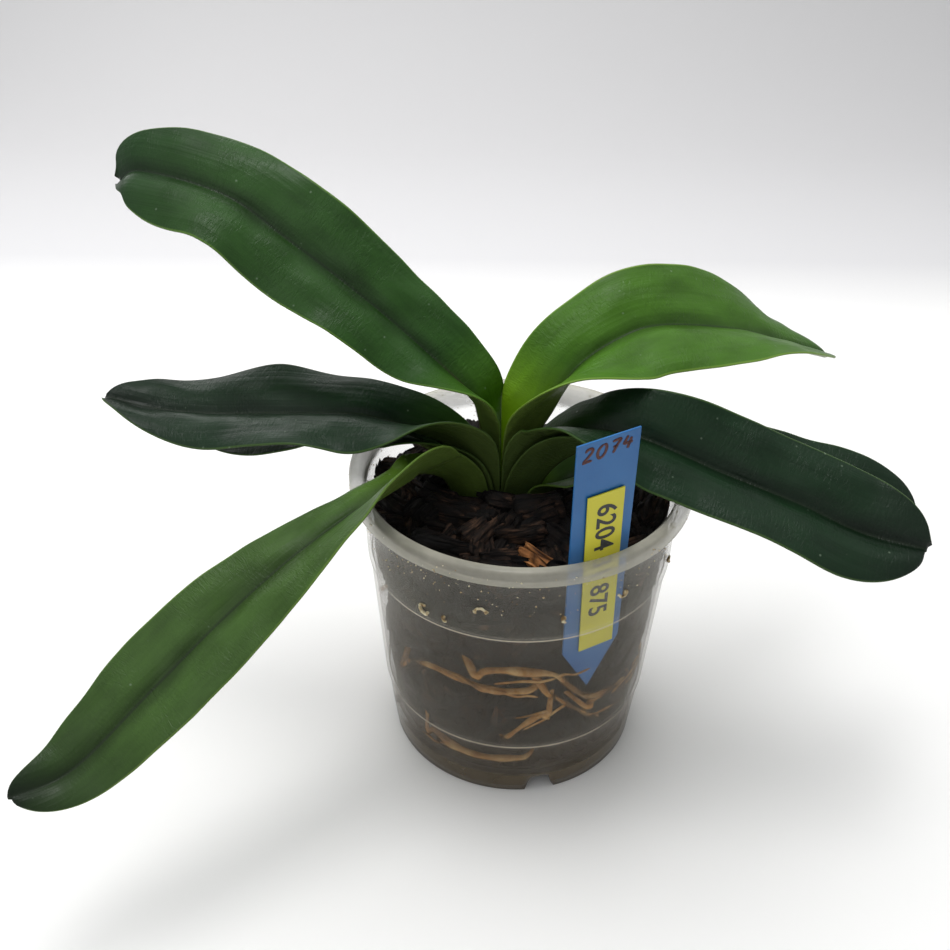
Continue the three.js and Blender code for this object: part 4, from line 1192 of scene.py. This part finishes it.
def make_husk(degrees, z, radius, seed):
    """A curl of bark skin: a loose, uneven spiral, just off the wall."""
    random = np.random.default_rng(seed)
    steps = np.linspace(0, 1, HUSK_STEPS)
    turns = steps * random.uniform(1.1, 1.9) * math.pi + random.uniform(0, 6)
    spiral = radius * (1 - 0.55 * steps) * random.uniform(0.75, 1.25, HUSK_STEPS)
    reach = wall_radius(z) + 0.25 + 0.9 * steps
    around = math.radians(degrees) + spiral * np.cos(turns) / reach
    up = z + random.uniform(0.5, 0.9) * spiral * np.sin(turns)
    return tube(polar(reach, around, up), random.uniform(0.42, 0.62), seed, sides=7, pace=0.35)


def make_speck(random):
    """An eight-sided grain, mostly just below the rim, and here and there on it."""
    size = random.uniform(*SPECK_SIZES)
    turn_to = random.uniform(0, 2 * math.pi)
    z = 99.0 - 13 * random.uniform(0, 1) ** 2.2
    reach = wall_radius(z)
    if random.uniform(0, 1) < SPECKS_ON_RIM:
        z, reach = random.uniform(100.8, 104.4), RIM_RADIUS
    corners = np.array([(1, 0, 0), (-1, 0, 0), (0, 1, 0), (0, -1, 0), (0, 0, 1), (0, 0, -1)], dtype=float)
    faces = [[0, 2, 4], [2, 1, 4], [1, 3, 4], [3, 0, 4], [2, 0, 5], [1, 2, 5], [3, 1, 5], [0, 3, 5]]
    return corners * size * random.uniform(0.5, 1.5, 3) + polar(reach, turn_to, z), faces


print(len(HUSKS), "husks and", SPECK_COUNT, "specks")

# %% Crumb finish, and the crumbs
def mottled_material(name, every_mm, detail, stops, roughness, place_by="Generated"):
    """A matte finish of a few colours in soft patches, with its adder and shader for more."""
    material, add, shader = new_material(name)
    mottle = add("TexNoise", add("TexCoord").outputs[place_by], Scale=every(every_mm), Detail=detail)
    fill(shader, Base_Color=set_ramp(add("ValToRGB", mottle), *stops), Roughness=roughness)
    return material, add, shader


# dry bark dust is matte, from brown to straw
CRUMB_COLOURS = [(0.35, "#7a5f3b"), (0.48, "#bba67c"), (0.6, "#e2dabb")]
speck_random = np.random.default_rng(11)
crumbs = [make_husk(*values, seed) for seed, values in enumerate(HUSKS)]
crumbs += [make_speck(speck_random) for _ in range(SPECK_COUNT)]
crumb_finish = mottled_material("dry_bark_crumbs", 1.667, 3.0, CRUMB_COLOURS, 0.8, "Object")[0]
make_piece("bark_crumbs", *join(crumbs), crumb_finish, "pale_bark")

# %% [markdown]
# ## Plant tag
# The tag is a strip of blue polystyrene, punched with a pointed foot, and a strip of yellow label paper is
# stuck on it. Their CAD solids already have the right shape, so they stay, and get small bevels, because a
# real punched edge always catches a thin line of light. The tag carries only plain numbers: a hand-written
# one across the top, drawn as flat ribbons of ink, and a printed one down the label.

# %% Tag finish
WELD_DISTANCE, BEVEL_SEGMENTS = 0.01, 2


def dress_carried_solid(node_name, bevel_mm, name, colours, roughness, bump_mm):
    """Joins the split points of a carried-over solid, softens its edges and gives it its finish."""
    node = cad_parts[node_name]
    node.modifiers.new("weld", "WELD").merge_threshold = WELD_DISTANCE * MM
    edge = node.modifiers.new("bevel", "BEVEL")
    edge.width, edge.segments, edge.limit_method = bevel_mm * MM, BEVEL_SEGMENTS, "ANGLE"
    stops = list(zip((0.35, 0.7), colours))
    material, add, shader = mottled_material(name, 14.29, 5.0, stops, roughness, "Object")
    # the skin's grain is 0.7 mm, coarser than the real one
    skin = add("TexNoise", add("TexCoord").outputs["Object"], Scale=every(0.6667), Detail=2.0)
    fill(shader, Normal=add("Bump", Height=skin, Strength=0.2, Distance=bump_mm * MM))
    node.data.materials[0] = material
    print(node_name, "dressed in", name)


# punched polystyrene has a satin sheen, and coated paper a duller one
dress_carried_solid("label_tag", 0.12, "punched_polystyrene_satin_blue", ("#105e9c", "#1f69a6"), 0.38, 0.05)
dress_carried_solid("label_sticker", 0.05, "coated_label_paper_yellow", ("#d9d124", "#cdc430"), 0.42, 0.03)

# %% [markdown]
# ## Numbers
# Ink has hardly any thickness, but a thin solid of its own stays sharp at any distance. The pen's number is
# a few strokes, each a ribbon along a smooth curve. The printed number is text, turned to a mesh.

# %% Hand-written number on the tag
HAND_WRITTEN = "2074"
STICKER_FRONT = -0.75  # mm, front of the sticker in the tag's own frame
INK_THICKNESS, INK_WIDTH, INK_SAMPLES, INK_SEAT = 0.06, 0.95, 28, -0.02
NUMBER_START, NUMBER_HEIGHT, DIGIT_PACE, HAND_SLANT, HAND_RISE = -8.0, 95.6, 4.1, 0.12, 0.18


def on_tag(points):
    """From the tag's own frame, x across, z up from its tip, to the pot's."""
    return np.asarray(points) @ TAG_MATRIX.T + TAG_TIP


def ribbon(stroke):
    """A flat stroke of ink with rounded ends, on the front of the tag."""
    shares = np.linspace(0, 1, INK_SAMPLES)
    line = sample(*curve_through([(x, INK_SEAT, z) for x, z in stroke], 12), shares)
    aside = np.cross(unit(np.gradient(line, axis=0)), [0, 1, 0])
    aside = aside * INK_WIDTH / 2 * rounding_off(np.abs(2 * shares - 1), 14, 0.05)[:, None]
    lift = [0, INK_THICKNESS, 0]
    points = np.stack([line + aside, line - aside, line - aside - lift, line + aside - lift], 1)
    return points.reshape(-1, 3), closed_faces(INK_SAMPLES, 4)


# strokes of each digit on a 3.4 by 4.4 mm field, slanted as a quick hand writes them
STROKES = {
    "2": [[(0.2, 3.5), (1.0, 4.4), (2.3, 4.2), (2.4, 3.1), (1.2, 1.5), (0.1, 0.2), (1.4, 0.3), (2.9, 0.2)]],
    "0": [[(1.6, 4.4), (0.5, 3.3), (0.2, 1.6), (1.0, 0.1), (2.2, 0.6), (2.8, 2.4), (2.5, 4.0), (1.5, 4.4)]],
    "7": [[(0.3, 4.1), (1.6, 4.3), (2.9, 4.2), (2.0, 2.4), (1.2, 0.1)], [(0.9, 2.1), (1.6, 2.2), (2.4, 2.3)]],
    "4": [[(1.1, 4.4), (0.6, 3.0), (0.3, 2.0), (1.6, 1.9), (3.0, 2.0)], [(2.3, 3.6), (2.0, 2.0), (1.7, 0.0)]],
}
number_parts = []
for place, digit in enumerate(HAND_WRITTEN):
    left, foot = NUMBER_START + place * DIGIT_PACE, NUMBER_HEIGHT + place * HAND_RISE
    for stroke in STROKES[digit]:
        number_parts.append(ribbon([(left + x + HAND_SLANT * z, foot + z) for x, z in stroke]))
number_points, number_faces = join(number_parts)
# felt-pen ink is dull, and darker where the pen rested
ink = mottled_material("felt_pen_ink_brown", 1.111, 2.0, [(0.3, "#451d1a"), (0.7, "#5c2b25")], 0.5)[0]
make_piece("tag_number", on_tag(number_points), number_faces, ink, "tag_plastic")

# %% Printed number down the label
PRINTED = "6204 31 875"
DIGIT_HEIGHT, DIGIT_SHARE = 6.3, 0.7  # mm, and the height of a digit as a share of the font's size
DIGIT_BOLDNESS = 0.14  # mm added round each digit
PRINT_START, PRINT_LEFT = 79.0, -2.2  # mm up the tag and across it


def make_printed_number():
    """Plain digits that read from the top of the label to its foot, as a thin layer of print."""
    text = bpy.data.curves.new("printed_number", "FONT")
    text.body, text.size, text.offset = PRINTED, DIGIT_HEIGHT / DIGIT_SHARE, DIGIT_BOLDNESS
    text.extrude, text.resolution_u = INK_THICKNESS / 2, 4
    holder = put_in_scene("printed_number", text)
    outline = as_mesh(holder)
    bpy.data.objects.remove(holder)
    flat = np.array([vertex.co[:] for vertex in outline.vertices])
    faces = [list(polygon.vertices) for polygon in outline.polygons]
    down_the_label = np.stack([PRINT_LEFT + flat[:, 1], STICKER_FRONT - INK_THICKNESS / 2 - flat[:, 2],
                               PRINT_START - flat[:, 0]], 1)
    # print is dense black, with grey where it is rubbed
    black = mottled_material("label_print_black", 0.8333, 2.0, [(0.3, "#15161a"), (0.7, "#2b2c30")], 0.45)[0]
    print("print runs", np.ptp(flat[:, 0]).round(1), "mm, digits", flat[:, 1].max().round(1), "mm high")
    make_piece("label_number", on_tag(down_the_label), faces, black, "sticker_paper", smooth_shading=False)


make_printed_number()
